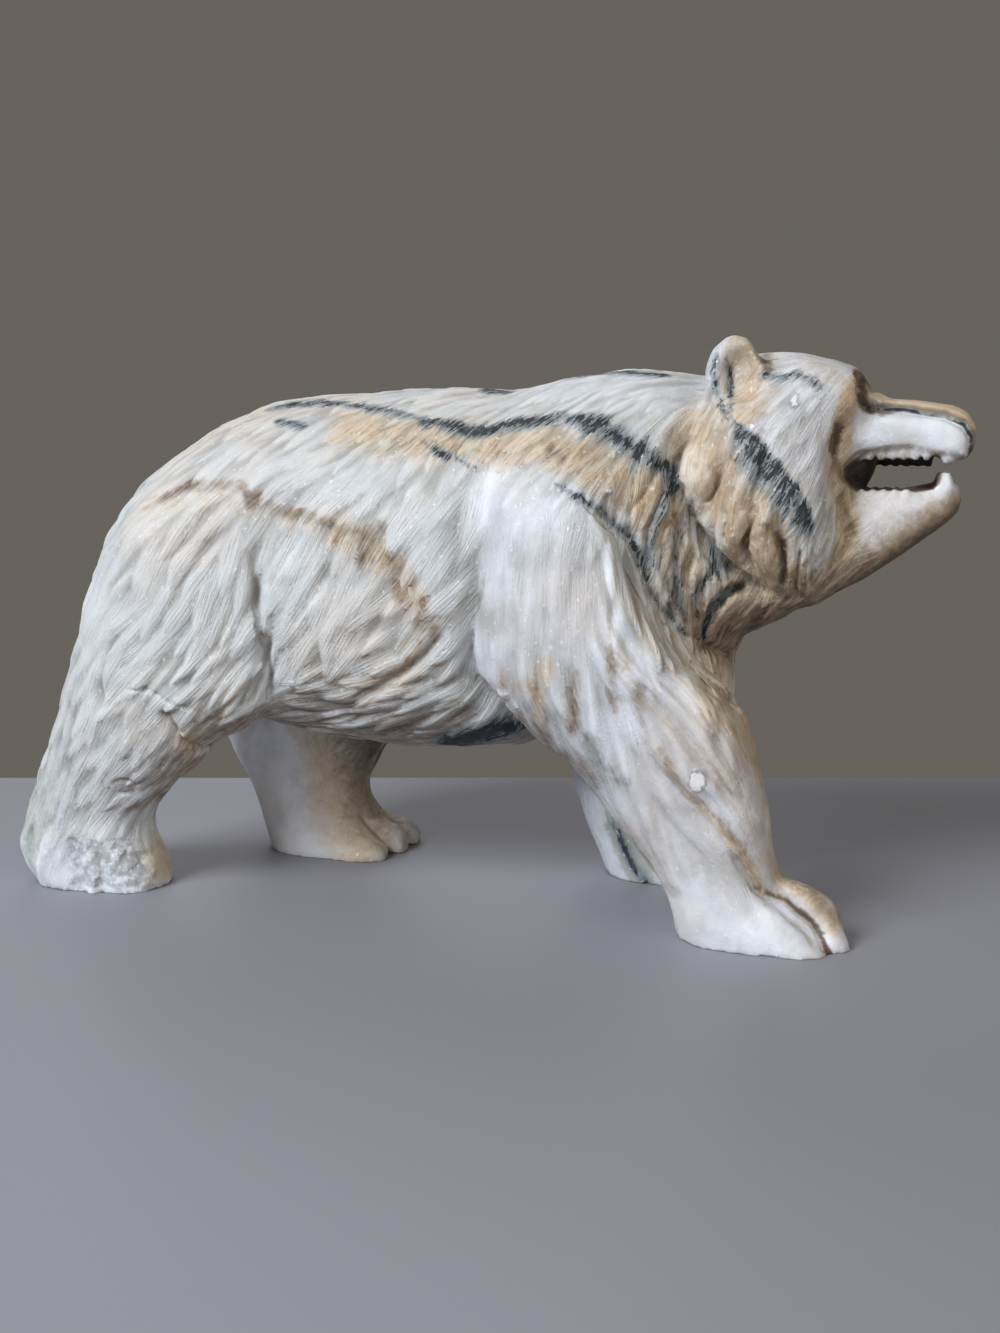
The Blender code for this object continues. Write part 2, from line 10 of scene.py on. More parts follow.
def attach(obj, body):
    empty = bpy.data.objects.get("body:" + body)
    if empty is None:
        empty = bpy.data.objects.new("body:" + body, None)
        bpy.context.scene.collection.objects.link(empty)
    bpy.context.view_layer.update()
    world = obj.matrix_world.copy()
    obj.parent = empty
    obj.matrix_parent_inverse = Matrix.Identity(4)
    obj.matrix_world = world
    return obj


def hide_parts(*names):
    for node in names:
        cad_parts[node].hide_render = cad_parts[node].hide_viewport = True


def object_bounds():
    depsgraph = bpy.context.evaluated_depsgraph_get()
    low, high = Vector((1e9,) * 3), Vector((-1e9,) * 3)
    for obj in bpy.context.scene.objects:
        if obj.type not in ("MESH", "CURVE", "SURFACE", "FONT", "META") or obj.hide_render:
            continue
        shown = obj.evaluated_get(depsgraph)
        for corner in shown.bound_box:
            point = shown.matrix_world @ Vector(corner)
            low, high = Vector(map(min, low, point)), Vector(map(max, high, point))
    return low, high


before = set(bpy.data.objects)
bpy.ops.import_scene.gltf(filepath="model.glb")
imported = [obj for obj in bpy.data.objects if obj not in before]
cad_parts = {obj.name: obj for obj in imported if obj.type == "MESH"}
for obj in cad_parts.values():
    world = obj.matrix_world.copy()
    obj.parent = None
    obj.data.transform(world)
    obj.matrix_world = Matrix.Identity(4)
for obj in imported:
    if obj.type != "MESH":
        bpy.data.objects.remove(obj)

cad_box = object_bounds()

# ------------------------------------------
# The block, roughed out
# One block of banded calcite, sawn flat underneath and cut down to a walking bear with its jaws
# open. The rough cuts are rubbed round; the jaws and teeth, the thinnest work, keep their edges.

MM = 0.001
FLANK = 7.0  # the ruff and the big locks start this far from the middle, mm
SOLE = 0.3  # height up to which the soles stay as sawn, mm
GRIT = 0.5  # distance between points of the stone's skin, mm
RUB_ROUNDS = 22
SOFT_ROUNDS = 60
RUB = 0.5  # share of the way that a round of rubbing takes a point
HELD_JAWS, HELD_EARS, HELD_PAWS = 0.82, 0.7, 0.75  # how much of the rubbing thin work is spared
SOFT_BACK, SOFT_FRONT = 0.7, 0.8  # how much of the second rubbing the shoulder plate's edges take
PLATE_FRONT = np.array(((48, 48), (58, 40.6), (74, 34), (84, 28)))  # z and x along its front edge, mm
LOW_CORNER = np.array(cad_box[0]) / MM
HIGH_CORNER = np.array(cad_box[1]) / MM


def points_of(mesh):
    """The skin's points, in millimetres."""
    points = np.empty(len(mesh.vertices) * 3)
    mesh.vertices.foreach_get("co", points)
    return points.reshape(-1, 3) / MM


def normals_of(mesh):
    """The way out of the stone at each of its points."""
    normals = np.empty(len(mesh.vertices) * 3)
    mesh.vertices.foreach_get("normal", normals)
    return normals.reshape(-1, 3)


def settle(mesh, points):
    """Puts the points back, kept inside the sawn block, so that the soles stay flat."""
    points = np.clip(points, LOW_CORNER, HIGH_CORNER)
    mesh.vertices.foreach_set("co", (points * MM).ravel())
    mesh.update()


def worked(stone, kind, **settings):
    """Applies one modifier to the stone."""
    modifier = stone.modifiers.new(kind.lower(), kind)
    for name, value in settings.items():
        setattr(modifier, name, value)
    graph = bpy.context.evaluated_depsgraph_get()
    stone.data = bpy.data.meshes.new_from_object(stone.evaluated_get(graph))
    stone.modifiers.clear()


def rub(mesh, rounds, share):
    """Rubs the skin: in each round a point goes its share of the way to its neighbours' middle."""
    ends = np.empty(len(mesh.edges) * 2, np.int64)
    mesh.edges.foreach_get("vertices", ends)
    first, second = ends.reshape(-1, 2).T
    points = points_of(mesh)
    neighbours = np.bincount(ends, minlength=len(points))
    for _ in range(rounds):
        for axis in range(3):
            place = points[:, axis]
            total = np.bincount(first, place[second], len(place))
            total += np.bincount(second, place[first], len(place))
            points[:, axis] = place + share * (total / neighbours - place)
    settle(mesh, points)


def fade(values, low, high):
    """0 at low, 1 at high, and smooth between them."""
    t = np.clip((values - low) / (high - low), 0, 1)
    return t * t * (3 - 2 * t)


def within(values, out_low, low, high, out_high):
    """1 from low to high, 0 below out_low and above out_high, and smooth between them."""
    return fade(values, out_low, low) * fade(-values, -out_high, -high)


bear = bpy.data.objects.new("carved_bear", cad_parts["bear"].data.copy())
bpy.context.scene.collection.objects.link(bear)
loose = bmesh.new()
loose.from_mesh(bear.data)
bmesh.ops.remove_doubles(loose, verts=loose.verts, dist=0.00001)
loose.to_mesh(bear.data)
loose.free()
worked(bear, "REMESH", mode="VOXEL", voxel_size=GRIT * MM, adaptivity=0)

# Where each part lies, in mm
x, y, z = points_of(bear.data).T
above_sole = z > SOLE
jaws = fade(x, 73, 77)
ears = fade(z, 107, 111) * within(x, 46, 50, 58, 62)
paws = fade(-z, -12, -8)
held = np.maximum(np.maximum(HELD_JAWS * jaws, HELD_EARS * ears), HELD_PAWS * paws)
rub(bear.data, RUB_ROUNDS, RUB * (1 - held) * above_sole)

# The ruff and the edges of the shoulder plate are rubbed softer before they are cut again
ruff = within(x, 44, 48, 66, 70) * within(z, 60, 64, 94, 98) * (abs(y) > FLANK)
back_edge = within(x, 2, 6, 12, 18) * fade(z, 62, 74)
ahead_of_plate = x - np.interp(z, *PLATE_FRONT.T)
front_edge = within(ahead_of_plate, -5, -2, 3, 6) * within(z, 44, 50, 82, 88) * (y < -10)
softened = np.maximum(np.maximum(ruff, SOFT_BACK * back_edge), SOFT_FRONT * front_edge)
rub(bear.data, SOFT_ROUNDS, RUB * softened)

# ------------------------------------------
# Creases
# Deep cuts made first with the edge of a wheel: they part the haunch, shoulder, head and ruff from
# what lies behind them, and draw the mouth, the eyes and the ledge along the muzzle.

RIGHT, BOTH, LEFT, ACROSS, RIGHT_OUTSIDE = -1, 0, 1, 2, 3  # the sides that work is done on
MIDDLE = 2.5  # half-width of the middle strip, reached only by work done ACROSS it, mm
OUTSIDE = 19.0  # the outside of the right legs is further than this from the middle, mm
# The line between the right forepaw's toes, cut here and later browned with stain and painted shade
TOE_LINE = ((62.3, 11.9), (64.8, 9.8), (68, 8.4), (70, 7), (73, 5), (75.3, 2.1), (77, 0))
# side, depth, slope to the left and right of the line, then the line's (x, z) points, all in mm
CREASES = (
    (RIGHT, 0.4, 1.0, 4, (9.6, 93), (10.1, 84), (10.1, 76), (9.1, 68)),
    (RIGHT, 1.5, 1.0, 4, (10.1, 74), (9.1, 68), (7.1, 61), (6.1, 55), (6.7, 50), (11, 45), (18, 39)),
    (LEFT, 1.4, 1.1, 5, (7, 91), (1, 83), (-3, 72), (-3.4, 58), (-2, 49), (3, 41)),
    (RIGHT, 1.4, 1.6, 0.8, (-38, 70), (-38.1, 63), (-37.1, 56), (-36.9, 50), (-38.4, 42)),
    (LEFT, 1.5, 3.4, 1.2, (-34, 74), (-26.5, 60), (-22.5, 48), (-23, 40)),
    (RIGHT, 2.2, 2.8, 0.7, (28.5, 85.6), (32.6, 82), (36.8, 78), (38.8, 73.4), (40.2, 67.7),
     (42.6, 64), (46.6, 58.4)),
    (RIGHT, 1.6, 2.0, 0.7, (44.6, 61), (49.9, 56.2), (52.6, 53.6), (55.9, 49), (58.2, 44.4)),
    (LEFT, 1.6, 3.4, 1.2, (32, 80), (37, 68), (41, 58), (45, 49)),
    (BOTH, 1.1, 1.8, 1.2, (74.2, 101), (74.4, 95), (73.4, 89), (75.6, 82), (77.4, 76)),
    (BOTH, 2.8, 1.0, 3.6, (49.7, 99.5), (45.2, 95), (44.5, 89), (47.1, 83), (50.7, 76.4), (55.7, 71),
     (63.7, 66)),
    (BOTH, 1.1, 0.9, 1.0, (79.4, 102.6), (82, 102.1), (86, 102.1), (93.7, 100.9), (97, 99.4),
     (98.6, 96.9), (98.2, 93)),
    (ACROSS, 1.1, 2.2, 2.4, (79.6, 109.6), (80.6, 107.8), (81.4, 105.6)),
    (BOTH, 2.0, 1.0, 0.7, (77.1, 110), (78.1, 107.7), (77.9, 105.6), (78.4, 103.2), (80.6, 101.9)),
    (BOTH, 1.8, 0.6, 2.2, (55.4, 94), (53.6, 90.4), (52.2, 87.4), (50.9, 85), (49.2, 84.2)),
    (BOTH, 0.9, 0.8, 0.7, (54.4, 83.4), (53.9, 80.9), (53.5, 78.4), (53.8, 76.6)),
    (BOTH, 2.0, 0.7, 2.2, (60.8, 84.6), (59.6, 81), (58.3, 78.6), (58, 76), (58.5, 73.5), (60.2, 70.6)),
    (BOTH, 2.0, 2.4, 0.7, (61.6, 81), (63.2, 78.9), (64.4, 76.1), (64.5, 73.3), (64.2, 70.5),
     (63.4, 68.6)),
    (BOTH, 0.9, 0.9, 0.9, (68.4, 76), (67.6, 72), (66.8, 67.6)),
    (BOTH, 0.8, 0.9, 0.9, (71, 75), (70.2, 70.6), (70, 67.4)),
    (RIGHT_OUTSIDE, 1.5, 2.6, 0.7, (57.4, 20), (60.6, 15), *TOE_LINE),
    (RIGHT, 0.9, 0.7, 1.5, (35.4, 69), (36, 63.4), (39.4, 57.6), (43.8, 53.4), (49.4, 48.8),
     (54.6, 42.6), (58.6, 35.6)),
    (RIGHT, 0.9, 0.7, 1.5, (32.6, 64), (35.4, 56.8), (39.6, 52), (45, 46.8), (50.4, 40.8),
     (55.4, 33.8), (59.4, 26.6)),
    (RIGHT, 0.8, 0.5, 0.6, (-66, 45.5), (-60, 46), (-56, 43.5), (-51, 42)),
    (RIGHT, 0.8, 0.7, 0.7, (-72, 24.5), (-69.6, 25.6), (-67, 25), (-68.4, 22.6), (-71.4, 22.2)),
    (RIGHT, 1.3, 1.4, 3.0, (43, 66), (46, 60), (51, 54)),
    (RIGHT, 1.6, 0.8, 2.6, (-57.6, 42), (-55.8, 38.4), (-54.8, 34.6), (-52.4, 30.6)),
    (BOTH, 1.0, 2.2, 0.8, (2, 60), (-3, 54.6), (-8, 50.8), (-14, 47.4), (-20, 44)),
    (BOTH, 0.6, 1.2, 1.6, (-51, 80), (-53, 74.6), (-58, 71)),
    (BOTH, 0.7, 0.8, 2.0, (-45, 79), (-49, 71), (-55, 65)),
    (BOTH, 0.7, 0.8, 2.0, (-19, 76.5), (-24, 66.5), (-31, 58.4)),
    (BOTH, 0.7, 0.8, 2.0, (-27, 79), (-31.4, 72), (-35.6, 66)),
    (BOTH, 0.7, 0.8, 2.0, (-5.6, 71.6), (-9.6, 64), (-15, 56)),
    (BOTH, 1.0, 0.7, 1.6, (42, 92), (39.6, 86.6), (36.6, 81.6)),
    (BOTH, 1.3, 0.7, 1.6, (44, 90), (42.4, 85), (40.6, 80), (40, 75), (40.6, 70)),
    (BOTH, 1.3, 0.7, 1.6, (46.2, 87), (44.4, 82), (42.8, 77), (42.4, 72), (43.6, 66), (46, 60)),
    (BOTH, 1.3, 0.7, 1.6, (47.6, 82), (46.2, 77), (45.4, 71), (46, 65), (48, 59)),
    (BOTH, 1.3, 0.7, 1.6, (48.6, 77), (47.6, 72), (48, 66), (49.4, 60)),
    (BOTH, 2.0, 1.6, 1.6, (60, 68), (55, 67), (51.6, 63.4), (50.2, 59), (50, 53)),
    (BOTH, 1.4, 1.2, 1.2, (52.4, 74), (50.6, 69), (49.6, 63)),
)
RUN_OUT = 0.12  # share of a line's length over which each end runs out
# Gaps between the left hind toes: the x where each starts and the y where it lies, in mm
TOE_GAPS = ((-40, 14.8), (-38, 22.9))
TOE_GAP_DEPTH, TOE_GAP_HALF, TOE_GAP_START = 1.8, 1.6, 5.0
HIND_PAWS_END = -15.0  # the hind paws lie behind this x, mm


def on_side(points, side):
    """Whether each point lies on that side of the bear."""
    if side == ACROSS:
        return np.ones(len(points), bool)
    if side == RIGHT_OUTSIDE:
        return points[:, 1] < -OUTSIDE
    return abs(points[:, 1]) > MIDDLE if side == BOTH else points[:, 1] * side > MIDDLE


def along_line(flat, path):
    """For each (x, z) point: how far off the line it is, how far along, and whether it is left of it."""
    path = np.array(path, float)
    reach = np.concatenate([[0], np.cumsum(np.hypot(*np.diff(path, axis=0).T))])
    away = np.full(len(flat), np.inf)
    place = np.zeros(len(flat))
    left = np.zeros(len(flat), bool)
    for i in range(len(path) - 1):
        run = path[i + 1] - path[i]
        off = flat - path[i]
        t = np.clip(off @ run / (run @ run), 0, 1)
        gap = np.hypot(off[:, 0] - t * run[0], off[:, 1] - t * run[1])
        closer = gap < away
        away[closer] = gap[closer]
        place[closer] = ((reach[i] + t * (reach[i + 1] - reach[i])) / reach[-1])[closer]
        left[closer] = (run[0] * off[:, 1] - run[1] * off[:, 0] > 0)[closer]
    return away, place, left


def crease_depth(points, side, depth, left_slope, right_slope, path):
    """How deep one crease is at each point."""
    here = np.flatnonzero(on_side(points, side))
    away, place, left = along_line(points[here][:, [0, 2]], path)
    ends = np.clip(np.minimum(place, 1 - place) / RUN_OUT, 0, 1)
    cross = np.clip(1 - away / np.where(left, left_slope, right_slope), 0, 1) ** 1.5
    found = np.zeros(len(points))
    found[here] = depth * ends * cross
    return found


def cut_depth(points):
    """How deep the creases and the gaps between toes are at each point."""
    deep = np.zeros(len(points))
    for side, depth, left_slope, right_slope, *path in CREASES:
        deep = np.maximum(deep, crease_depth(points, side, depth, left_slope, right_slope, path))
    x, y, z = points.T
    on_paw = fade(-z, -11, -7) * (x < HIND_PAWS_END)
    for start, across in TOE_GAPS:
        gap = np.clip(1 - abs(y - across) / TOE_GAP_HALF, 0, 1)
        run = fade(x, start, start + TOE_GAP_START)
        deep = np.maximum(deep, TOE_GAP_DEPTH * on_paw * run * gap)
    return deep


points, normals = points_of(bear.data), normals_of(bear.data)
sunk = cut_depth(points)
settle(bear.data, points - normals * sunk[:, None])

# ------------------------------------------
# The coat
# Pointed locks of fur cut one by one with a small burr, each lapping over the next like shingles:
# short tufts on the body, long flutes down the forelegs and neck, fine combing on the cheeks. The
# muzzle, the paws and the left hind leg are left smooth.

# The fur: x, z, direction that it lies in degrees from +X, lock length, half-width and relief, in mm
BACK_AND_FLANKS = (
    (-69, 90, 215, 16, 2.2, 0.45),
    (-55, 95, 222, 16, 1.8, 0.35),
    (-45, 102, 216, 13, 1.5, 0.4),
    (-30, 97, 226, 14, 1.6, 0.4),
    (-13, 106, 222, 13, 1.5, 0.4),
    (-15, 95, 232, 13, 1.7, 0.45),
    (-5, 85, 240, 18, 2.6, 0.45),
    (0, 70, 238, 20, 2.9, 0.7),
    (-20, 72, 240, 21, 3.1, 0.7),
    (-30, 65, 240, 21, 3.0, 0.75),
    (-22, 55, 230, 20, 2.9, 0.8),
    (-5, 58, 231, 19, 2.7, 0.75),
    (-15, 47, 210, 18, 1.9, 0.65),
    (-30, 44, 194, 17, 1.6, 0.6),
    (-10, 40, 206, 18, 1.8, 0.6),
    (-20, 36, 200, 16, 1.6, 0.6),
    (-36, 53, 240, 15, 2.1, 0.7),
    (2, 46, 215, 17, 1.9, 0.6),
    (-2, 80, 236, 19, 2.8, 0.5),
    (2, 64, 229, 19, 2.6, 0.65),
    (-62, 84, 225, 16, 2.2, 0.35),
    (-77, 72, 236, 20, 2.8, 0.6),
    (-60, 71, 236, 22, 3.0, 0.42),
    (-48, 72, 243, 22, 2.9, 0.5),
    (-43, 71, 252, 20, 2.6, 0.5),
    (-41, 56, 240, 14, 1.7, 0.75),
    (-60, 57, 225, 18, 2.1, 0.65),
    (-50, 47, 217, 16, 1.7, 0.85),
    (-77, 52, 230, 18, 2.6, 0.7),
    (-62, 43, 222, 16, 2.1, 0.65),
    (-45, 42, 228, 13, 1.5, 0.65),
    (-56, 34, 226, 15, 2.0, 0.6),
)
RIGHT_HIND_LEG = (
    (-70, 33, 228, 16, 2.2, 0.55),
    (-86, 36, 240, 16, 2.6, 0.9),
    (-80, 22, 235, 14, 2.2, 0.6),
    (-73, 17, 236, 12, 1.6, 0.3),
    (-92, 18, 246, 13, 2.2, 0.7),
    (-91, 6, 250, 9, 1.4, 0.15),
    (-76, 6, 250, 8, 1.5, 0),
    (-67, 6, 250, 8, 1.5, 0),
)
LEFT_HIND_LEG = (
    (-50, 30, 255, 13, 1.5, 0.03),
    (-45, 12, 265, 10, 1.5, 0),
)
SHOULDERS = (
    (13, 86, 255, 18, 1.6, 0.12),
    (14, 70, 268, 20, 1.5, 0.18),
    (24, 84, 262, 18, 1.6, 0.12),
    (22, 68, 268, 20, 1.5, 0.2),
    (31, 72, 276, 20, 1.5, 0.2),
    (11, 55, 262, 18, 1.5, 0.2),
    (20, 51, 268, 18, 1.5, 0.25),
    (30, 50, 272, 18, 1.5, 0.25),
    (34, 62, 284, 20, 1.6, 0.14),
)
RIGHT_FORELEG = (
    (39, 56, 305, 22, 1.6, 0.13),
    (46, 50, 315, 22, 1.6, 0.13),
    (52, 42, 305, 22, 1.6, 0.13),
    (45, 40, 298, 23, 1.6, 0.13),
    (52, 33, 308, 23, 1.6, 0.13),
    (58, 27, 304, 20, 1.5, 0.13),
    (36, 42, 275, 19, 1.5, 0.15),
    (38, 30, 284, 18, 1.5, 0.15),
    (44, 22, 289, 16, 1.4, 0.14),
    (52, 19, 300, 16, 1.4, 0.14),
    (60, 15, 303, 13, 1.3, 0.12),
    (50, 9, 290, 10, 1.3, 0),
    (64, 5, 320, 10, 1.3, 0),
)
LEFT_FORELEG = (
    (40, 50, 285, 20, 1.8, 0.9),
    (32, 30, 277, 18, 1.7, 0.6),
    (36, 14, 285, 14, 1.5, 0.2),
    (40, 4, 310, 10, 1.5, 0),
)
NECK_AND_HEAD = (
    (20, 105, 217, 13, 1.4, 0.35),
    (10, 97, 240, 13, 1.4, 0.35),
    (22, 95, 243, 14, 1.4, 0.4),
    (33, 92, 236, 15, 1.4, 0.5),
    (42, 98, 236, 14, 1.4, 0.45),
    (30, 108, 215, 12, 1.3, 0.3),
    (44, 106, 218, 12, 1.3, 0.3),
    (40, 86, 244, 17, 1.3, 0.8),
    (44, 78, 254, 18, 1.3, 0.9),
    (48, 71, 266, 19, 1.3, 1.0),
    (45, 63, 284, 19, 1.3, 0.9),
    (52, 57, 264, 20, 1.4, 0.8),
    (57, 65, 224, 16, 1.4, 0.6),
    (60, 107, 225, 10, 1.0, 0.2),
    (66, 100, 234, 12, 0.95, 0.25),
    (72, 105, 228, 9, 0.9, 0.2),
    (62, 90, 238, 13, 0.95, 0.3),
    (68, 83, 234, 12, 0.9, 0.35),
    (71, 93, 243, 11, 0.9, 0.25),
    (74, 78, 240, 11, 0.9, 0.35),
    (68, 71, 250, 11, 1.0, 0.4),
    (52, 92, 246, 16, 1.0, 0.12),
    (57, 81, 250, 16, 1.0, 0.12),
    (61, 73, 262, 14, 1.0, 0.12),
    (55, 111, 262, 8, 1.1, 0.08),
    (78, 105, 230, 8, 1.0, 0.05),
    (84, 98, 180, 8, 1.2, 0),
    (95, 98, 180, 8, 1.2, 0),
    (90, 103, 180, 8, 1.2, 0),
    (84, 79, 200, 8, 1.2, 0),
    (94, 85, 200, 8, 1.2, 0),
)
FUR = [
    (side, *kind)
    for side, kinds in (
        (ACROSS, BACK_AND_FLANKS),
        (RIGHT, RIGHT_HIND_LEG),
        (LEFT, LEFT_HIND_LEG),
        (ACROSS, SHOULDERS),
        (RIGHT, RIGHT_FORELEG),
        (LEFT, LEFT_FORELEG),
        (ACROSS, NECK_AND_HEAD),
    )
    for kind in kinds
]
# Big locks, each cut in its own place: the ruff's lobes, and the long flutes of the shoulder and
# the right foreleg. Side, half-width, relief, then the (x, z) points of its back from root to tip.
BIG_LOCKS = (
    (BOTH, 3.7, 2.4, (52.4, 103), (49.4, 96), (48.4, 91), (49, 85.6), (49.4, 83.6)),
    (BOTH, 3.7, 2.4, (60, 97), (57, 90), (55.6, 84), (54.8, 78), (55, 72)),
    (BOTH, 3.2, 2.8, (61.8, 85), (61.2, 79), (61.2, 74.6), (62.4, 67.4)),
    (BOTH, 1.6, 0.9, (66.4, 78), (66.2, 72), (65.4, 66)),
    (BOTH, 1.6, 0.9, (69.4, 77), (69, 71), (68.4, 66)),
    (RIGHT, 2.5, 2.4, (30, 84), (33.8, 79.4), (36, 73.6), (37.4, 67), (40.2, 61.6), (44.8, 56),
     (49.4, 52.4), (53, 48), (57, 41), (60.6, 32), (62.8, 22)),
    (RIGHT, 2.3, 1.9, (32.4, 74), (34.4, 65.6), (37.2, 59), (41.4, 54.2), (47, 49), (52.4, 43),
     (57, 35.6), (60.4, 28), (62.6, 19)),
    (RIGHT, 2.5, 1.9, (31, 66), (33.2, 58), (37, 53), (42.6, 47), (47.6, 41.2), (53, 34.2),
     (57.5, 28), (61.6, 20.5)),
    (RIGHT, 2.4, 1.4, (37.4, 55), (40.6, 47), (44, 40.4), (48.6, 35.2), (53, 30), (58, 23)),
    (RIGHT, 2.1, 0.9, (39, 49), (41.2, 41), (43.2, 34), (46.6, 28), (51, 23), (57, 17)),
    (RIGHT, 2.1, 0.8, (35.4, 52), (38, 42), (40, 33), (42, 25), (45, 16)),
    (RIGHT, 2.3, 0.8, (31.2, 56), (32.6, 46), (34.6, 36), (37.6, 27), (41, 18)),
    (RIGHT, 2.4, 0.8, (24.6, 60), (25.4, 50), (28, 40), (32, 31)),
    (RIGHT, 2.5, 0.7, (18.6, 58), (19.4, 49), (22.4, 40)),
    (RIGHT, 2.4, 0.3, (12, 86), (11.8, 74), (10.6, 62), (9.4, 52)),
    (RIGHT, 2.5, 0.35, (17, 85), (16.8, 72), (15.4, 60), (14.4, 48)),
    (RIGHT, 2.6, 0.35, (22, 84), (21.4, 73), (21.4, 62), (20.6, 52)),
    (RIGHT, 2.4, 0.45, (27, 83), (26, 73), (26.8, 62), (27.6, 50)),
    (RIGHT, 2.3, 0.5, (31.4, 80), (31.2, 70), (32, 60), (33.6, 48)),
)
APART_ALONG = 0.42  # locks lie this many of their lengths apart along the fur
APART_ACROSS = 1.15  # and this many half-widths apart across it
LONG, WIDE, TALL = (0.7, 1.4), (0.7, 1.35), (0.6, 1.35)  # how locks vary round the fur's own sizes
SWIRL_WIDTH = 14.0  # mm over which neighbouring locks swing together
SWIRL = 0.3  # and how far, as a slope
LEAN = 0.12  # how far a lock swings by itself
BEND = 0.02  # how far it curves, per mm
LIGHT_RUB = 0.3  # share of the way that the last round of rubbing takes a point
PEAK, TIP = 0.68, 0.16  # where along a lock its back is highest, and how much of it is the tip
SETTLE = 0.45  # share of the relief by which the skin sinks between locks
BLEND = 5.0  # mm2 added to a squared distance, so that one kind of fur passes softly into the next
LIFT = 0.35  # how far the fur swings outwards on the bear's back, as a slope
INNER_TOP, INNER_SHARE = 38.0, 0.3  # up to this height, mm, the legs' inner sides have this much relief
LOWEST_LOCK, LEAST_RELIEF = 1.0, 0.07  # no lock lies lower, or where the relief is less, mm
LAYER = 5.0  # locks this far apart through the stone don't crowd each other, mm
SIDEWAYS = 0.8  # share of its height by which a big lock is raised straight out from the flank
SOLE_EDGE = 3.0  # mm above the ground where the coat has reached its full relief


def fur_at(points, normals):
    """The fur at each point: its direction along the skin, and its length, half-width and relief."""
    weight = np.zeros((len(points), len(FUR)))
    for i, (side, x, z, *_) in enumerate(FUR):
        away = (points[:, 0] - x) ** 2 + (points[:, 2] - z) ** 2
        weight[:, i] = on_side(points, side) / (away + BLEND) ** 2
    weight /= weight.sum(axis=1, keepdims=True)
    table = np.array([row[3:] for row in FUR], float)
    angle = np.radians(table[:, 0])
    flow = np.zeros((len(points), 3))
    flow[:, 0] = weight @ np.cos(angle)
    flow[:, 2] = weight @ np.sin(angle)
    flow[:, 1] = np.sign(points[:, 1]) * LIFT * np.clip(normals[:, 2], 0, 1)
    flow -= normals * (flow * normals).sum(axis=1, keepdims=True)
    flow /= np.linalg.norm(flow, axis=1, keepdims=True) + 1e-9
    length, half, relief = (weight @ table[:, 1:]).T
    inner = (-normals[:, 1] * np.sign(points[:, 1]) > 0.2) & (points[:, 2] < INNER_TOP)
    return flow, length, half, relief * np.where(inner, INNER_SHARE, 1)


def set_out_locks(points, normals, dice):
    """Chooses each lock: its seat, which is its middle, its normal, ways ahead and aside, and sizes."""
    flow, length, half, relief = fur_at(points, normals)
    seats = np.empty((0, 3))
    locks = []
    for i in dice.permutation(len(points))[: len(points) // 4]:
        if relief[i] < LEAST_RELIEF or points[i, 2] < LOWEST_LOCK:
            continue
        if len(locks):
            away = points[i] - seats[: len(locks)]
            ahead = away @ flow[i] / (APART_ALONG * length[i])
            aside = away @ np.cross(normals[i], flow[i]) / (APART_ACROSS * half[i])
            if (ahead**2 + aside**2 + (away @ normals[i] / LAYER) ** 2).min() < 1:
                continue
        if len(locks) == len(seats):
            seats = np.concatenate([seats, np.empty((2000, 3))])
        seats[len(locks)] = points[i]
        swing = SWIRL * noise.noise(Vector(points[i]) / SWIRL_WIDTH) + dice.uniform(-LEAN, LEAN)
        aside_way = np.cross(normals[i], flow[i])
        ahead_way = flow[i] + swing * aside_way
        ahead_way /= np.linalg.norm(ahead_way)
        aside_way = np.cross(normals[i], ahead_way)
        sizes = (
            length[i] * dice.uniform(*LONG),
            half[i] * dice.uniform(*WIDE),
            relief[i] * dice.uniform(*TALL),
            dice.uniform(-BEND, BEND),
        )
        locks.append((points[i], normals[i], ahead_way, aside_way, sizes))
    return locks


def lock_profile(t, aside, wide):
    """Height of a lock of relief 1: a leaf with a pointed tip, round across and highest near its tip."""
    leaf = np.where(t < 0.5, 0.4 + 1.2 * t, 1 - ((t - 0.5) / 0.5) ** 2)
    rise = np.clip(t / PEAK, 0, 1) ** 0.8 * np.clip((1 - t) / TIP, 0, 1) ** 0.7
    return rise * (1 - np.clip(abs(aside) / (wide * leaf + 0.04), 0, 1) ** 1.7)


def lay_coat(points, normals, locks):
    """At each point: the coat's height and the lock on top."""
    tree = KDTree(len(points))
    for i, point in enumerate(points):
        tree.insert(Vector(point), i)
    tree.balance()
    height = np.zeros(len(points))
    owner = np.full(len(points), -1)
    for number, (seat, normal, ahead_way, aside_way, (long, wide, tall, bend)) in enumerate(locks):
        near = np.array([i for _, i, _ in tree.find_range(Vector(seat), long * 0.55 + wide)])
        near = near[normals[near] @ normal > 0.15]
        away = points[near] - seat
        ahead = away @ ahead_way
        aside = away @ aside_way + bend * ahead**2
        t = np.clip(ahead / long + 0.5, 0, 1)
        found = tall * lock_profile(t, aside, wide)
        wins = found > height[near]
        height[near[wins]] = found[wins]
        owner[near[wins]] = number
    return height, owner


def big_lock_profile(t, aside, wide):
    """Height of a big lock of relief 1: round across, even for most of its length."""
    body = np.clip(np.minimum(t / 0.2, (1 - t) / 0.25), 0, 1) ** 0.7
    return body * (1 - np.clip(aside / (wide * (0.5 + 0.5 * body)), 0, 1) ** 2)


def lay_big_locks(points):
    """At each point: the big locks' height, and the one on top."""
    height = np.zeros(len(points))
    owner = np.full(len(points), -1)
    for number, (side, wide, tall, *path) in enumerate(BIG_LOCKS):
        here = np.flatnonzero(on_side(points, side) & (abs(points[:, 1]) > FLANK))
        away, place, _ = along_line(points[here][:, [0, 2]], path)
        found = tall * big_lock_profile(place, away, wide)
        wins = found > height[here]
        height[here[wins]] = found[wins]
        owner[here[wins]] = number
    return height, owner


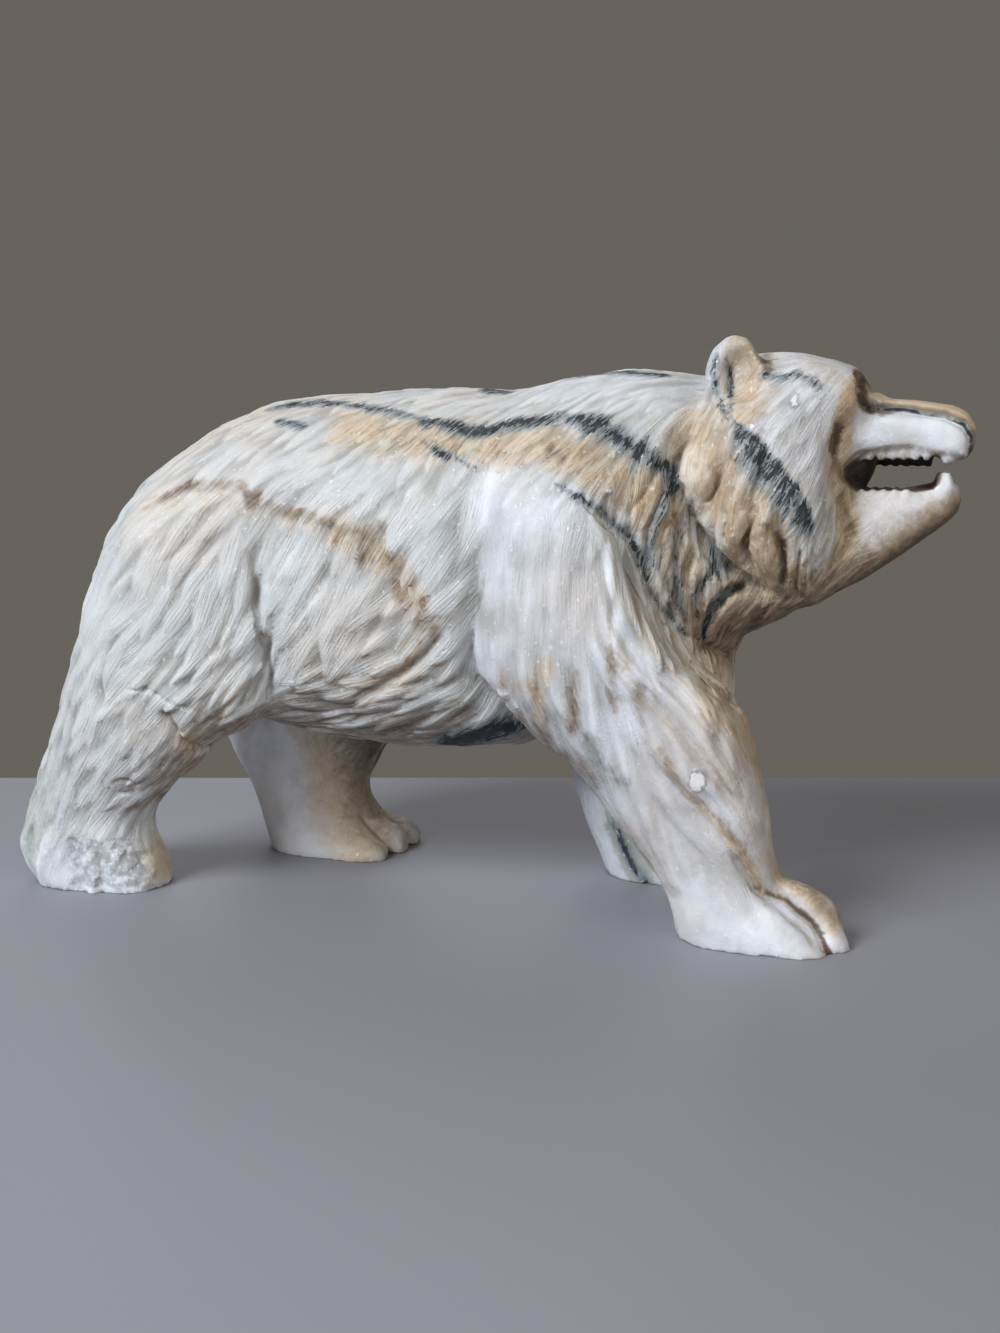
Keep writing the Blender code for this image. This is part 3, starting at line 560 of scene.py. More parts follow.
dice = np.random.default_rng(11)
points, normals = points_of(bear.data), normals_of(bear.data)
big_height, _ = lay_big_locks(points)
aside = fade(abs(normals[:, 1]), 0.1, 0.3) * np.sign(points[:, 1])
points[:, 1] += SIDEWAYS * big_height * aside
settle(bear.data, points)

points, normals = points_of(bear.data), normals_of(bear.data)
locks = set_out_locks(points, normals, dice)
height, _ = lay_coat(points, normals, locks)
relief = fur_at(points, normals)[3]
firm = fade(points[:, 2], SOLE, SOLE_EDGE)
settle(bear.data, points + normals * ((height - SETTLE * relief) * firm)[:, None])
rub(bear.data, 1, LIGHT_RUB * (1 - jaws) * above_sole)

# ------------------------------------------
# The broken heel
# The right hind foot has lost its front edge. The stone came away along its crystals, so the break
# is a cluster of small flat faces, not a cut.

BREAK_LOW = np.array((-84.0, -40.0, 0.5))
BREAK_HIGH = np.array((-65.5, -24.0, 12.5))
MOST_FACES = 195000
CLEAVED = 90  # flat faces
CLEAVED_TILT = 0.32  # their steepest slope
CHIPPED = 0.3  # mm that the middle of a face lies below the old surface
DEEPEST, PROUDEST = -0.9, 0.3  # mm that a face reaches in and out


def in_break(points):
    """1 on the broken part of the heel, 0 off it, with a ragged edge."""
    edge = np.minimum(points - BREAK_LOW, BREAK_HIGH - points)
    ragged = 1.3 * np.sin(points[:, 0] * 1.3 + points[:, 2]) * np.cos(points[:, 2] * 0.9)
    return fade(edge.min(axis=1) + ragged, 0.2, 1.4) * (points[:, 1] < -22)


points, normals = points_of(bear.data), normals_of(bear.data)
broken = in_break(points)
seeds = dice.uniform(BREAK_LOW, BREAK_HIGH, (CLEAVED, 3))
tilts = dice.uniform(-CLEAVED_TILT, CLEAVED_TILT, (CLEAVED, 3))
near_seed = ((points[:, None, [0, 2]] - seeds[None, :, [0, 2]]) ** 2).sum(axis=2).argmin(axis=1)
chip = ((points - seeds[near_seed])[:, [0, 2]] * tilts[near_seed][:, [0, 2]]).sum(axis=1) - CHIPPED
settle(bear.data, points + normals * (broken * np.clip(chip, DEEPEST, PROUDEST))[:, None])

worked(bear, "TRIANGULATE")
worked(bear, "DECIMATE", ratio=min(1, MOST_FACES / len(bear.data.polygons)))
bear.data.polygons.foreach_set("use_smooth", np.ones(len(bear.data.polygons), bool))

# ------------------------------------------
# Colour in the stone
# The bands run through the whole block. Iron has stained the coat tan and brown in streaks, and
# thin green-black seams cross it; each lock was cut to its own depth, which frays a seam's edge.

# In these tables BOTH means right through the block, and (x, z) is where it comes out on the right
# Seams: side, darkness, width to the left and right of the line, then (x, z) points
SEAMS = (
    # Along the back and down the neck
    (BOTH, 1.5, 0.9, 1.4, (-39, 100.2), (-35, 99.8), (-31, 98.8)),
    (BOTH, 1.2, 0.9, 1.0, (-44, 102.4), (-38, 103.4), (-31, 103.9), (-25, 103.3), (-19, 102.6),
     (-13, 101.7), (-8, 100.6)),
    (BOTH, 1.45, 1.2, 1.8, (-8, 100.8), (-5, 100), (0, 99.3), (5, 98), (9, 98.6), (13, 100),
     (18, 100), (23, 101), (28, 99.6)),
    (BOTH, 1.5, 2.3, 3.0, (26, 100.6), (31, 98.6), (35, 96.4), (39, 94), (41.6, 91)),
    (BOTH, 1.5, 1.4, 1.6, (41.5, 92.4), (43.4, 90.4), (43.8, 86.5)),
    (BOTH, 0.6, 1.2, 1.2, (43.6, 88), (42, 83), (41, 77), (40.4, 71)),
    (BOTH, 0.5, 1.2, 1.2, (46, 82), (45, 76), (45, 70), (47, 62)),
    # Round the shoulder plate
    (BOTH, 1.35, 0.8, 0.9, (-5, 96), (0, 93.6), (4, 92.2), (8, 90.3)),
    (BOTH, 1.4, 0.9, 1.0, (23.7, 88.4), (28.5, 86), (32, 83.6), (34, 81), (36.8, 78)),
    (BOTH, 1.5, 1.5, 0.8, (34.6, 80.6), (37.2, 77.4), (39, 72)),
    (RIGHT, 1.0, 0.9, 0.5, (39, 72), (40.4, 67.4), (42.8, 63.8), (46.6, 58.4)),
    # Cheek, brow, ear and throat
    (BOTH, 1.6, 1.0, 5.8, (56.4, 99.6), (60.6, 96), (64, 92), (67, 88), (69.6, 83.6), (70.4, 80.4)),
    (BOTH, 0.9, 0.9, 1.3, (59.4, 108.8), (63, 108.2), (66, 109), (69, 107.8), (71, 106)),
    (BOTH, 1.3, 0.8, 1.4, (51.7, 112.4), (51.2, 108.6), (51.8, 105.4), (53.4, 101.8)),
    (BOTH, 1.1, 0.8, 0.8, (53.1, 112), (54, 108.4), (54.3, 105.2), (54.9, 100.6)),
    (BOTH, 0.8, 1.8, 1.6, (50.2, 75.6), (52, 73), (54, 71.4)),
    (BOTH, 0.7, 2.2, 2.2, (51.6, 73), (49.6, 69), (48.8, 65.6)),
    (BOTH, 1.4, 0.9, 1.1, (55, 67.6), (52.4, 65.4), (50.4, 61.6), (49.8, 57)),
    # Belly, left foreleg, top of the back, muzzle and left flank
    (ACROSS, 2.0, 3.0, 3.4, (-5, 33), (3, 36), (9, 38.6), (14, 39)),
    (LEFT, 1.3, 1.6, 1.4, (26.6, 14), (29, 10), (32, 4), (36, -1)),
    (BOTH, 1.3, 0.7, 0.8, (1, 106.6), (5, 106.2), (9, 105.6)),
    (BOTH, 1.3, 0.7, 0.8, (17, 108.4), (24, 109.6), (31, 109.8), (41, 108.8)),
    (BOTH, 1.8, 0.6, 0.5, (80, 102.3), (86, 102.1), (93.7, 100.9), (97, 99.4), (98.6, 96.9),
     (98.4, 94), (97.6, 92.4)),
    (LEFT, 1.0, 1.2, 1.2, (-60, 70), (-48, 64), (-36, 62), (-24, 56)),
)
# Stains: side, half-width, strength, then (x, z) points
TAN = (
    # Back and neck
    (BOTH, 6.5, 0.8, (-22, 99), (-10, 97), (0, 96.5), (10, 95.5), (20, 95.5), (29, 93), (36, 88.5),
     (41, 84)),
    (BOTH, 4.5, 0.4, (-56, 97), (-46, 101.5), (-34, 103.5), (-22, 104)),
    (BOTH, 5.6, 0.85, (41, 86), (44.6, 77), (48, 70), (50.4, 62), (52.6, 56)),
    # Ruff, ear and cheek
    (BOTH, 10, 0.85, (49, 97), (52, 89), (56, 82), (60, 75), (62, 70)),
    (BOTH, 2.2, 1.0, (56.6, 94), (53.4, 88), (51.6, 84)),
    (BOTH, 2.4, 1.0, (60.6, 86), (58, 80), (56.4, 76)),
    (BOTH, 2.2, 1.0, (63.6, 80), (62.6, 73), (62.6, 68)),
    (BOTH, 7, 0.8, (57, 113), (57.4, 104)),
    (BOTH, 16, 0.2, (56, 106), (62, 96), (66, 84), (72, 72)),
    # Flank
    (BOTH, 4.5, 0.4, (-66, 82), (-54, 86), (-40, 84), (-28, 81), (-14, 77.5), (-7, 70), (-2, 62),
     (-6, 52), (-16, 46)),
    # Muzzle, brow and jaw
    (BOTH, 3.0, 1.2, (77, 106), (75, 101), (74.4, 96), (74.6, 91), (75.4, 86), (76.2, 82), (77.1, 79),
     (75.4, 74)),
    (BOTH, 3.4, 0.9, (79, 106.4), (84, 104.6), (90, 103.8), (96, 102.8), (99.6, 99.5), (99.8, 94)),
    (BOTH, 5, 0.35, (69, 111), (77, 107)),
    (BOTH, 7, 0.9, (66, 64), (76, 68), (86, 73.5), (97, 82)),
    (BOTH, 4, 0.3, (60, 86), (66, 78)),
    # The ruff's hollows
    (BOTH, 3.4, 0.9, (57.6, 83), (56.6, 78), (56, 73)),
    (BOTH, 3.4, 0.9, (62, 80), (62.4, 74), (63, 69)),
    (BOTH, 3, 0.8, (67, 70), (72, 69)),
    # Right foreleg
    (RIGHT, 4, 0.7, (14.5, 51), (21, 49.5), (23.5, 54)),
    (RIGHT, 2, 0.6, (22, 48), (21, 43)),
    # Tan along the foreleg's front: stain and painted shade
    (RIGHT, 3, 0.4, (36, 60), (42, 50), (50, 41), (57, 33), (62, 24), (65, 15)),
    (RIGHT, 5, 0.4, (39, 70), (42, 62), (48, 54), (55, 44), (61, 32)),
    (RIGHT, 2.6, 0.9, (59, 44), (63.4, 34), (66, 24), (67.5, 14)),
    (RIGHT, 1.8, 0.75, (45, 39), (50, 31), (56, 25), (60, 19), (63.5, 11)),
    (RIGHT, 3.2, 0.75, (67, 12.4), (72, 10.4), (77.4, 4.6)),
    # Right hind leg
    (RIGHT, 3, 0.75, (-67, 11), (-66, 3)),
    (RIGHT, 2.4, 0.5, (-54, 34), (-47, 40), (-42.6, 46)),
    (RIGHT, 3, 0.7, (-66.4, 9), (-65.3, 14.5), (-60, 23), (-55, 31), (-54.6, 36)),
    (RIGHT, 3, 0.9, (-65, 10), (-61.6, 7.7), (-60.4, 3.7)),
    (RIGHT, 4, 0.2, (-42, 66), (-44, 54), (-50, 44), (-58, 33)),
    # Flank, left hind leg and throat
    (BOTH, 4.4, 0.6, (-23, 80), (-14, 76.4), (-8, 71.6), (-4, 66)),
    (BOTH, 5, 0.3, (-30, 52), (-18, 46), (-5, 50)),
    (LEFT, 12, 0.75, (-40, 30), (-38, 15), (-32, 3)),
    (BOTH, 6, 0.7, (56, 66), (54, 56), (56, 48)),
)
# Brown stain; in the rows marked below, the brown is partly painted shade
BROWN_AND_SHADE = (
    # The arc on the flank, and its darker strokes
    (BOTH, 1.9, 0.5, (-60, 84.6), (-54, 87), (-46, 87.6), (-41.6, 87), (-38, 84.8)),
    (BOTH, 1.7, 0.55, (-38, 84.8), (-34, 83), (-28, 81.8), (-21, 79.8), (-14, 77.6), (-8, 73),
     (-4, 68), (-1, 61)),
    (BOTH, 2.2, 0.45, (-64, 83.5), (-59, 84.5), (-54, 87), (-48, 87.2), (-42, 87), (-38, 84.5)),
    (BOTH, 2.2, 0.5, (-38, 84.5), (-34, 82.5), (-28, 81.6), (-21, 79.6), (-15, 78.6)),
    (BOTH, 2.6, 0.5, (-54.6, 87.2), (-52, 86.6)),
    (BOTH, 1.7, 0.85, (-41.6, 87.6), (-40, 85), (-39.4, 83.6)),
    (BOTH, 1.2, 0.5, (-31, 83), (-30, 81.4)),
    (BOTH, 1.3, 0.6, (-25, 82.4), (-27, 80)),
    (BOTH, 1.5, 0.75, (-18.6, 79), (-20.4, 76.8)),
    (BOTH, 3.0, 0.85, (-11.6, 79), (-14, 76.4), (-15.6, 73.6)),
    (BOTH, 1.2, 0.6, (-11, 74), (-13.6, 70.6)),
    (BOTH, 2.8, 0.8, (-6.6, 75), (-8.8, 71.6)),
    (BOTH, 2.6, 0.8, (-4, 69.8), (-7.6, 66.6)),
    (BOTH, 1.9, 0.85, (-1.4, 65.6), (-3.6, 61)),
    (BOTH, 1.7, 0.75, (0, 60), (-3, 56), (-7, 52), (-12, 49)),
    # Back
    (BOTH, 1.5, 0.7, (21, 95), (24, 93)),
    (BOTH, 4, 0.35, (-14, 96.5), (0, 95), (12, 94), (24, 92.5), (34, 86), (40, 78)),
    # Right foreleg
    (RIGHT, 2.6, 0.75, (29, 54), (28.6, 48), (28, 42)),
    (RIGHT, 2.2, 0.35, (21, 52), (20.6, 44)),
    (RIGHT, 2.0, 0.7, (35.6, 58), (36.3, 47)),
    (RIGHT, 2.2, 0.5, (40.6, 51), (42, 41)),
    (RIGHT, 1.2, 0.6, (45, 39.6), (50, 31.8), (56, 26), (60, 20), (63.6, 12)),
    (RIGHT, 1.3, 0.25, (35, 70), (37, 60), (42, 51), (48, 43), (54, 34)),
    # Brown down the foreleg's front edge: stain and painted shade
    (RIGHT, 1.6, 0.8, (62, 42), (65.6, 32), (67.4, 22), (68.4, 14)),
    # Neck, throat, jaw and muzzle; on the throat and along and under the jaw the brown is stain and
    # painted shade
    (BOTH, 2.2, 0.8, (45, 68), (47, 62), (51, 55)),
    (BOTH, 5, 0.5, (41.6, 86), (44.6, 76), (46, 68), (50, 58)),
    (BOTH, 5.4, 1.0, (54, 58), (60, 62.4), (68, 61)),
    (BOTH, 1.5, 1.4, (72, 64.2), (85, 73.1), (96.4, 81.7), (98.4, 85), (98.2, 88)),
    (BOTH, 1.7, 2.1, (56, 68), (53.4, 66.8), (51.6, 64), (50.2, 60.3), (50.2, 56)),
    (BOTH, 9, 0.4, (74, 72), (84, 77), (95, 83)),
    (BOTH, 1.3, 0.9, (80, 102.7), (86, 102.5), (93.7, 101.3), (97.4, 99.8), (99, 97), (98.8, 93)),
    # Neck and ruff, between the locks
    (BOTH, 1.1, 0.7, (41, 84), (39.6, 78)),
    (BOTH, 1.2, 0.8, (44.6, 82), (43, 75), (43.6, 69)),
    (BOTH, 1.0, 1.0, (57.4, 77.6), (57.6, 76.8)),
    (BOTH, 1.0, 0.6, (55, 93), (53.4, 90.2), (51.9, 87.4), (50.2, 85)),
    (BOTH, 1.3, 1.0, (64, 79), (65, 76), (65.2, 73), (64.6, 69.4)),
    (BOTH, 0.9, 0.7, (59.4, 82), (58, 78.6), (57.7, 76)),
    # Eyes, the corners of the mouth and the ears
    (BOTH, 2.0, 0.8, (78, 110), (78.6, 105), (79.6, 102.6), (83, 102)),
    (BOTH, 1.1, 1.8, (77.1, 109.2), (78.1, 107.7), (77.9, 105.6), (78.4, 103.2), (80, 102.1)),
    (BOTH, 1.4, 1.4, (74.3, 99.4), (73.8, 96.8), (73.5, 94.4)),
    (BOTH, 1.0, 0.7, (74.2, 93), (74.8, 88), (76, 83), (77.4, 79)),
    (BOTH, 1.8, 1.0, (59.2, 115), (60.8, 110)),
    # Toes, throat, hind legs and jaw; on the right forepaw's inner toe and the line between its toes, the
    # left hind leg, the right knee and under the jaw the brown is stain and painted shade
    (RIGHT, 2.4, 0.6, (67.4, 13.6), (72.4, 11), (77.6, 5.6)),
    (RIGHT_OUTSIDE, 0.8, 1.3, *TOE_LINE),
    (BOTH, 3, 0.7, (50.5, 62), (53, 54), (56, 48)),
    (LEFT, 17, 1.15, (-27, 40), (-25, 18)),
    (RIGHT, 2.6, 0.8, (-42.6, 40), (-46, 36.6), (-53, 35)),
    (RIGHT, 1.6, 0.5, (-66, 15), (-60, 24), (-55.4, 32)),
    (BOTH, 7, 0.75, (64, 59), (76, 66), (86, 72), (98, 81.6)),
)
GREEN = (
    (RIGHT, 4, 0.6, (32, 40), (35, 34)),
    (RIGHT, 3, 0.5, (33, 26), (36.5, 20)),
    (RIGHT, 3, 0.35, (36, 56), (40, 50)),
    (BOTH, 7, 0.25, (-84, 16), (-86, 30)),
    (BOTH, 8, 0.2, (-52, 70), (-47, 58)),
    (BOTH, 4, 0.4, (0, 44), (8, 50)),
    (BOTH, 3, 0.5, (42, 80), (47, 74)),
    (BOTH, 4, 0.35, (45, 72), (50, 66)),
    (LEFT, 4.6, 1.2, (28, 13), (31, 7), (35, 0)),
    (RIGHT, 9, 0.5, (-93, 24), (-93, 8)),
    (LEFT, 6, 0.4, (-10, 60), (6, 70)),
)
# White crystal flecks: side, x, z, half-width, half-height
FLECKS = (
    (RIGHT_OUTSIDE, 52, 33.6, 1.5, 2.2),
    (RIGHT, 66.2, 103.6, 0.7, 1.4),
    (BOTH, 33.6, 87, 0.6, 0.7),
    (BOTH, 59, 99, 0.5, 0.9),
    (BOTH, 87, 80.6, 0.4, 0.9),
)
DRIFT = np.array((5.0, -8.0))  # how far a band has moved in x and z where it comes out on the left
BLOCK_WIDTH = HIGH_CORNER[1] - LOW_CORNER[1]
SEAM_TAPER = 0.45  # share of its width that a seam loses towards its ends


def seen_from_right(points):
    """Each point's (x, z) where its band comes out on the bear's right side."""
    through = (points[:, 1] - LOW_CORNER[1]) / BLOCK_WIDTH
    return points[:, [0, 2]] - DRIFT * through[:, None] * fade(points[:, 1], -6, 20)[:, None]


def reached(points, drifted, side):
    """The (x, z) points that a row's line is drawn on, and which of them it reaches."""
    if side in (BOTH, ACROSS):
        return drifted, True
    return points[:, [0, 2]], on_side(points, side)


def seam_value(points):
    """1 or more in the middle of a seam, 0 at its edge, falling to -1 away from it."""
    value = np.full(len(points), -1.0)
    drifted = seen_from_right(points)
    for side, darkness, left_width, right_width, *path in SEAMS:
        flat, here = reached(points, drifted, side)
        away, place, left = along_line(flat, path)
        ends = 1 - SEAM_TAPER + SEAM_TAPER * fade(np.minimum(place, 1 - place), 0, RUN_OUT)
        found = darkness * (1 - away / (np.where(left, left_width, right_width) * ends))
        value = np.maximum(value, np.where(here, found, -1))
    return value


def stain_value(points, stains):
    """A stain's strength at each point, where stains that overlap add up."""
    value = np.zeros(len(points))
    drifted = seen_from_right(points)
    for side, half, strength, *path in stains:
        flat, here = reached(points, drifted, side)
        away, _, _ = along_line(flat, path)
        found = strength * np.clip(1 - (away / half) ** 2, 0, 1) ** 1.5
        value = 1 - (1 - value) * (1 - np.where(here, found, 0))
    return value


def fleck_value(points):
    """1 on a white fleck, 0 off it."""
    value = np.zeros(len(points))
    for side, x, z, wide, tall in FLECKS:
        away = np.hypot((points[:, 0] - x) / wide, (points[:, 2] - z) / tall)
        value = np.maximum(value, np.where(on_side(points, side), fade(-away, -1.15, -0.8), 0))
    return value


def stone_values(points):
    """Seam, tan, brown and green at each point, as four columns; in places the brown is painted shade."""
    columns = [seam_value(points)] + [stain_value(points, stains) for stains in (TAN, BROWN_AND_SHADE, GREEN)]
    return np.stack(columns, axis=1)


points = points_of(bear.data)
faces = np.empty(len(bear.data.polygons) * 3, np.int64)
bear.data.polygons.foreach_get("vertices", faces)
faces = faces.reshape(-1, 3)
centres = points[faces].mean(axis=1)
first, second, third = points[faces].transpose(1, 0, 2)
face_normals = np.cross(second - first, third - first)
face_normals /= np.linalg.norm(face_normals, axis=1, keepdims=True) + 1e-12
height, owner = lay_coat(centres, face_normals, locks)
big_height, big_owner = lay_big_locks(centres)
relief = fur_at(centres, face_normals)[3]

# The mouth from the side: x, top and bottom, in mm
MOUTH = np.array((
    (74.8, 90.6, 89.6),
    (75.4, 91.6, 88.4),
    (76.6, 92.7, 87.0),
    (78.6, 93.5, 86.0),
    (93.4, 94.2, 86.4),
))
RIGHT_LIP, LEFT_LIP, LIP_EDGE = -5.0, 7.6, 0.6  # y where the rows of teeth start inside, mm
# Brown painted as shade: how much goes inside the mouth, on whatever faces down, and into the cuts
MOUTH_SHADE = 2.0
UNDERSIDE_SHADE = 0.7
CUT_SHADE = 0.32  # painted shade for each millimetre that a cut is deep
BREAK_GLITTER = 0.4  # how many more crystals glint on the broken heel
RELIEF_AT_FULL_COAT = 0.5  # mm of relief from which the stone counts as fur
STROKE_SHIFT, BIG_STROKE_SHIFT = 400, 37  # mm between the strokes of one lock and the next
OWN_DEPTH = 0.3  # share of its colour that a whole lock takes from the stone at its seat
seats = np.array([lock[0] for lock in locks])
own = np.where(owner < 0, 0, OWN_DEPTH)[:, None, None]
stone_corners = (1 - own) * stone_values(points)[faces] + own * stone_values(seats)[owner][:, None, :]

# Painted shade, in brown: the mouth's inside, the deep cuts and whatever faces down are darkened; the
# mouth is partly stained as well
x, y, z = points.T
in_ruff = within(x, 44, 47, 64, 68) * fade(z, 66, 70)
facing_down = fade(-normals_of(bear.data)[:, 2], 0.1, 0.8) * UNDERSIDE_SHADE * (1 - in_ruff)
outside = np.maximum(z - np.interp(x, *MOUTH[:, :2].T), np.interp(x, MOUTH[:, 0], MOUTH[:, 2]) - z)
outside = np.maximum(outside, np.maximum(MOUTH[0, 0] - x, x - MOUTH[-1, 0]))
in_mouth = fade(-outside, -0.8, 1.4)
# Ahead of its corners the mouth's painted shade lies only between the rows of teeth
between_teeth = within(y, RIGHT_LIP - LIP_EDGE, RIGHT_LIP, LEFT_LIP, LEFT_LIP + LIP_EDGE)
in_mouth *= np.maximum(between_teeth, fade(-x, -79, -77.4))
# All three are painted shade, laid into the brown column
painted_shade = np.maximum(np.maximum(facing_down, CUT_SHADE * cut_depth(points)), MOUTH_SHADE * in_mouth)
stone_corners[:, :, 2] = np.maximum(stone_corners[:, :, 2], painted_shade[faces])

# How far each place stands out of the hollows beside it: 0 in a hollow, 1 or more on a crest
hits = np.bincount(faces.ravel(), minlength=len(points))
crest = np.minimum(height / (relief + 0.25), 1.5)
big_crest = np.where(big_owner < 0, 1, big_height / 1.2)
crest *= np.clip(0.35 + big_crest, 0, 1)
top = sum(np.bincount(faces[:, corner], crest, len(points)) for corner in range(3))
shade = dice.random(len(locks))[owner]
carving = np.zeros((len(faces), 3, 4))
carving[:, :, 0] = (top / hits)[faces]
carving[:, :, 1] = np.sqrt(np.clip(relief / RELIEF_AT_FULL_COAT, 0, 1))[:, None]
carving[:, :, 2] = shade[:, None]
carving[:, :, 3] = np.maximum(fleck_value(points), BREAK_GLITTER * in_break(points))[faces]
for name, values in (("stone", stone_corners), ("carving", carving)):
    layer = bear.data.color_attributes.new(name=name, type="FLOAT_COLOR", domain="CORNER")
    layer.data.foreach_set("color", values.astype(np.float32).ravel())

# Along and across each lock, in mm, so that the burr's strokes follow it
ahead_ways = np.array([lock[2] for lock in locks])[owner]
aside_ways = np.array([lock[3] for lock in locks])[owner]
away = points[faces] - seats[owner][:, None, :]
strokes = np.empty((len(faces), 3, 2))
strokes[:, :, 0] = (away * ahead_ways[:, None, :]).sum(axis=2)
strokes[:, :, 1] = (away * aside_ways[:, None, :]).sum(axis=2)
strokes += shade[:, None, None] * STROKE_SHIFT
for number, (_, _, _, *path) in enumerate(BIG_LOCKS):
    here = (big_owner == number) & (relief < 0.4)
    away, place, left = along_line(points[faces[here]].reshape(-1, 3)[:, [0, 2]], path)
    long = np.hypot(*np.diff(path, axis=0).T).sum()
    drawn = np.stack([place * long, np.where(left, away, -away)], axis=1) + BIG_STROKE_SHIFT * number
    strokes[here] = drawn.reshape(-1, 3, 2)
layer = bear.data.uv_layers.new(name="burr_strokes")
layer.uv.foreach_set("vector", strokes.astype(np.float32).ravel())

# ------------------------------------------
# The finish
# Calcite, cut with a diamond burr and left unpolished: a soft waxy sheen, light that sinks a few
# millimetres into the stone and comes out warm, and cleaved crystals that glint here and there.


def colour(code):
    """Linear values of an sRGB colour, from its hex code."""
    parts = [int(code[i : i + 2], 16) / 255 for i in (0, 2, 4)]
    linear = [p / 12.92 if p <= 0.04045 else ((p + 0.055) / 1.055) ** 2.4 for p in parts]
    return (*linear, 1)


calcite = bpy.data.materials.new("banded calcite, burr cut")
calcite.use_nodes = True
tree = calcite.node_tree
shader = tree.nodes["Principled BSDF"]


def add(kind, links=None, **settings):
    """Adds a node. Links go from an output, number or colour to the input of that name or place."""
    node = tree.nodes.new(kind)
    for name, value in settings.items():
        setattr(node, name, value)
    for name, value in (links or {}).items():
        if isinstance(value, bpy.types.NodeSocket):
            tree.links.new(value, node.inputs[name])
        else:
            node.inputs[name].default_value = value
    return node


def sum_of(first, second, share=1.0):
    """first + second * share"""
    return add("ShaderNodeMath", {0: second, 1: share, 2: first}, operation="MULTIPLY_ADD").outputs[0]


def product(first, second):
    """first * second"""
    return add("ShaderNodeMath", {0: first, 1: second}, operation="MULTIPLY").outputs[0]


def step_up(value, low, high):
    """0 below low, 1 above high, smooth between."""
    return add(
        "ShaderNodeMapRange",
        {"Value": value, "From Min": low, "From Max": high},
        interpolation_type="SMOOTHSTEP",
    ).outputs[0]


def mixed(under, over, amount, blend="MIX"):
    """The colour over laid on the colour under by the amount."""
    node = add("ShaderNodeMix", {0: amount, 6: under, 7: over}, data_type="RGBA", blend_type=blend)
    return node.outputs[2]


def clouds(vector, millimetres, detail=3.0, rough=0.55):
    """Noise from about 0 to 1, with patches about so many millimetres wide."""
    scale = 1 / (millimetres * MM)
    links = {"Vector": vector, "Scale": scale, "Detail": detail, "Roughness": rough}
    return add("ShaderNodeTexNoise", links).outputs["Fac"]


place = add("ShaderNodeTexCoord").outputs["Object"]
stone_layer = add("ShaderNodeAttribute", attribute_name="stone")
stone = add("ShaderNodeSeparateColor", {0: stone_layer.outputs["Color"]})
# The brown column holds the iron stain and the brown painted as shade
seam, tan, brown_and_shade, green = *stone.outputs[:3], stone_layer.outputs["Alpha"]
carving_layer = add("ShaderNodeAttribute", attribute_name="carving")
carved = add("ShaderNodeSeparateColor", {0: carving_layer.outputs["Color"]})
crest, coat, lock, crystal = *carved.outputs[:3], carving_layer.outputs["Alpha"]

# The burr's strokes, under 1 mm apart and many times as long, and shorter ones where a seam frays
burr = add("ShaderNodeUVMap", uv_map="burr_strokes").outputs["UV"]


def drawn_out(along, across):
    """Noise of strokes so many mm long and so many mm apart."""
    stretched = add("ShaderNodeMapping", {"Vector": burr, "Scale": (1 / along, 1 / across, 1)}).outputs[0]
    links = {"Vector": stretched, "Scale": 1.0, "Detail": 3.0, "Roughness": 0.6}
    return add("ShaderNodeTexNoise", links).outputs["Fac"]


burr_marks = drawn_out(8, 0.55)
streaks = drawn_out(6, 0.7)
hatching = drawn_out(2.6, 0.45)
cloud_wide = clouds(place, 30)
cloud_mid = clouds(place, 9)
cloud_fine = clouds(place, 2.2, 4.0, 0.65)
grain = clouds(place, 0.6, 2.0, 0.7)


def uneven(value, fine, hatch, marks=streaks):
    """The value, pushed up and down by fine clouds, and by the burr's marks where there is fur."""
    pushed = sum_of(sum_of(value, cloud_fine, fine), 1.0, -0.5 * fine)
    return sum_of(pushed, product(coat, sum_of(marks, 1.0, -0.5)), hatch)


# Ground: blue-white where it is rubbed smooth, greyer in the fur, lilac and cream in patches
ground = mixed(colour("EEF3FA"), colour("D6DAD9"), step_up(coat, 0.5, 0.95))
ground = mixed(ground, colour("C2C9CC"), product(step_up(cloud_mid, 0.42, 0.72), 0.7))
ground = mixed(ground, colour("DED6CA"), product(step_up(cloud_wide, 0.45, 0.68), 0.5))

ground = mixed(ground, colour("D6C6AC"), step_up(uneven(tan, 0.8, 1.4), 0.05, 0.9))
ground = mixed(ground, colour("B08C5E"), product(step_up(uneven(tan, 1.4, 3.0), 0.6, 1.5), 0.75))
ground = mixed(ground, colour("93A189"), product(step_up(uneven(green, 0.8, 0.8), 0.2, 0.8), 0.7))
# Brown stain, made deeper in the hollows than on the crests as painted shade
brown_shaded_in_hollows = product(brown_and_shade, sum_of(1.25, crest, -0.4))
ground = mixed(ground, colour("8B7860"), product(step_up(uneven(brown_shaded_in_hollows, 0.7, 1.0), 0.15, 0.95), 0.85))
ground = mixed(ground, colour("4A3624"), product(step_up(uneven(brown_shaded_in_hollows, 1.0, 1.6), 0.75, 1.4), 0.85))
# Nearly black where the brown is strongest: the painted shade deep in the mouth and the darkest stain
# lines
ground = mixed(ground, colour("1E140D"), step_up(brown_and_shade, 1.3, 1.9))

# Seams: a blue-grey bed crossed by green-black strokes
ground = mixed(ground, colour("7C8B92"), product(step_up(uneven(seam, 0.8, 2.0), -0.3, 0.7), 0.8))
dark = mixed(colour("28343A"), colour("0E1517"), step_up(cloud_fine, 0.4, 0.6))
in_seam = step_up(uneven(seam, 1.0, 4.4, hatching), 0.5, 1.0)
ground = mixed(ground, dark, product(in_seam, 0.95))

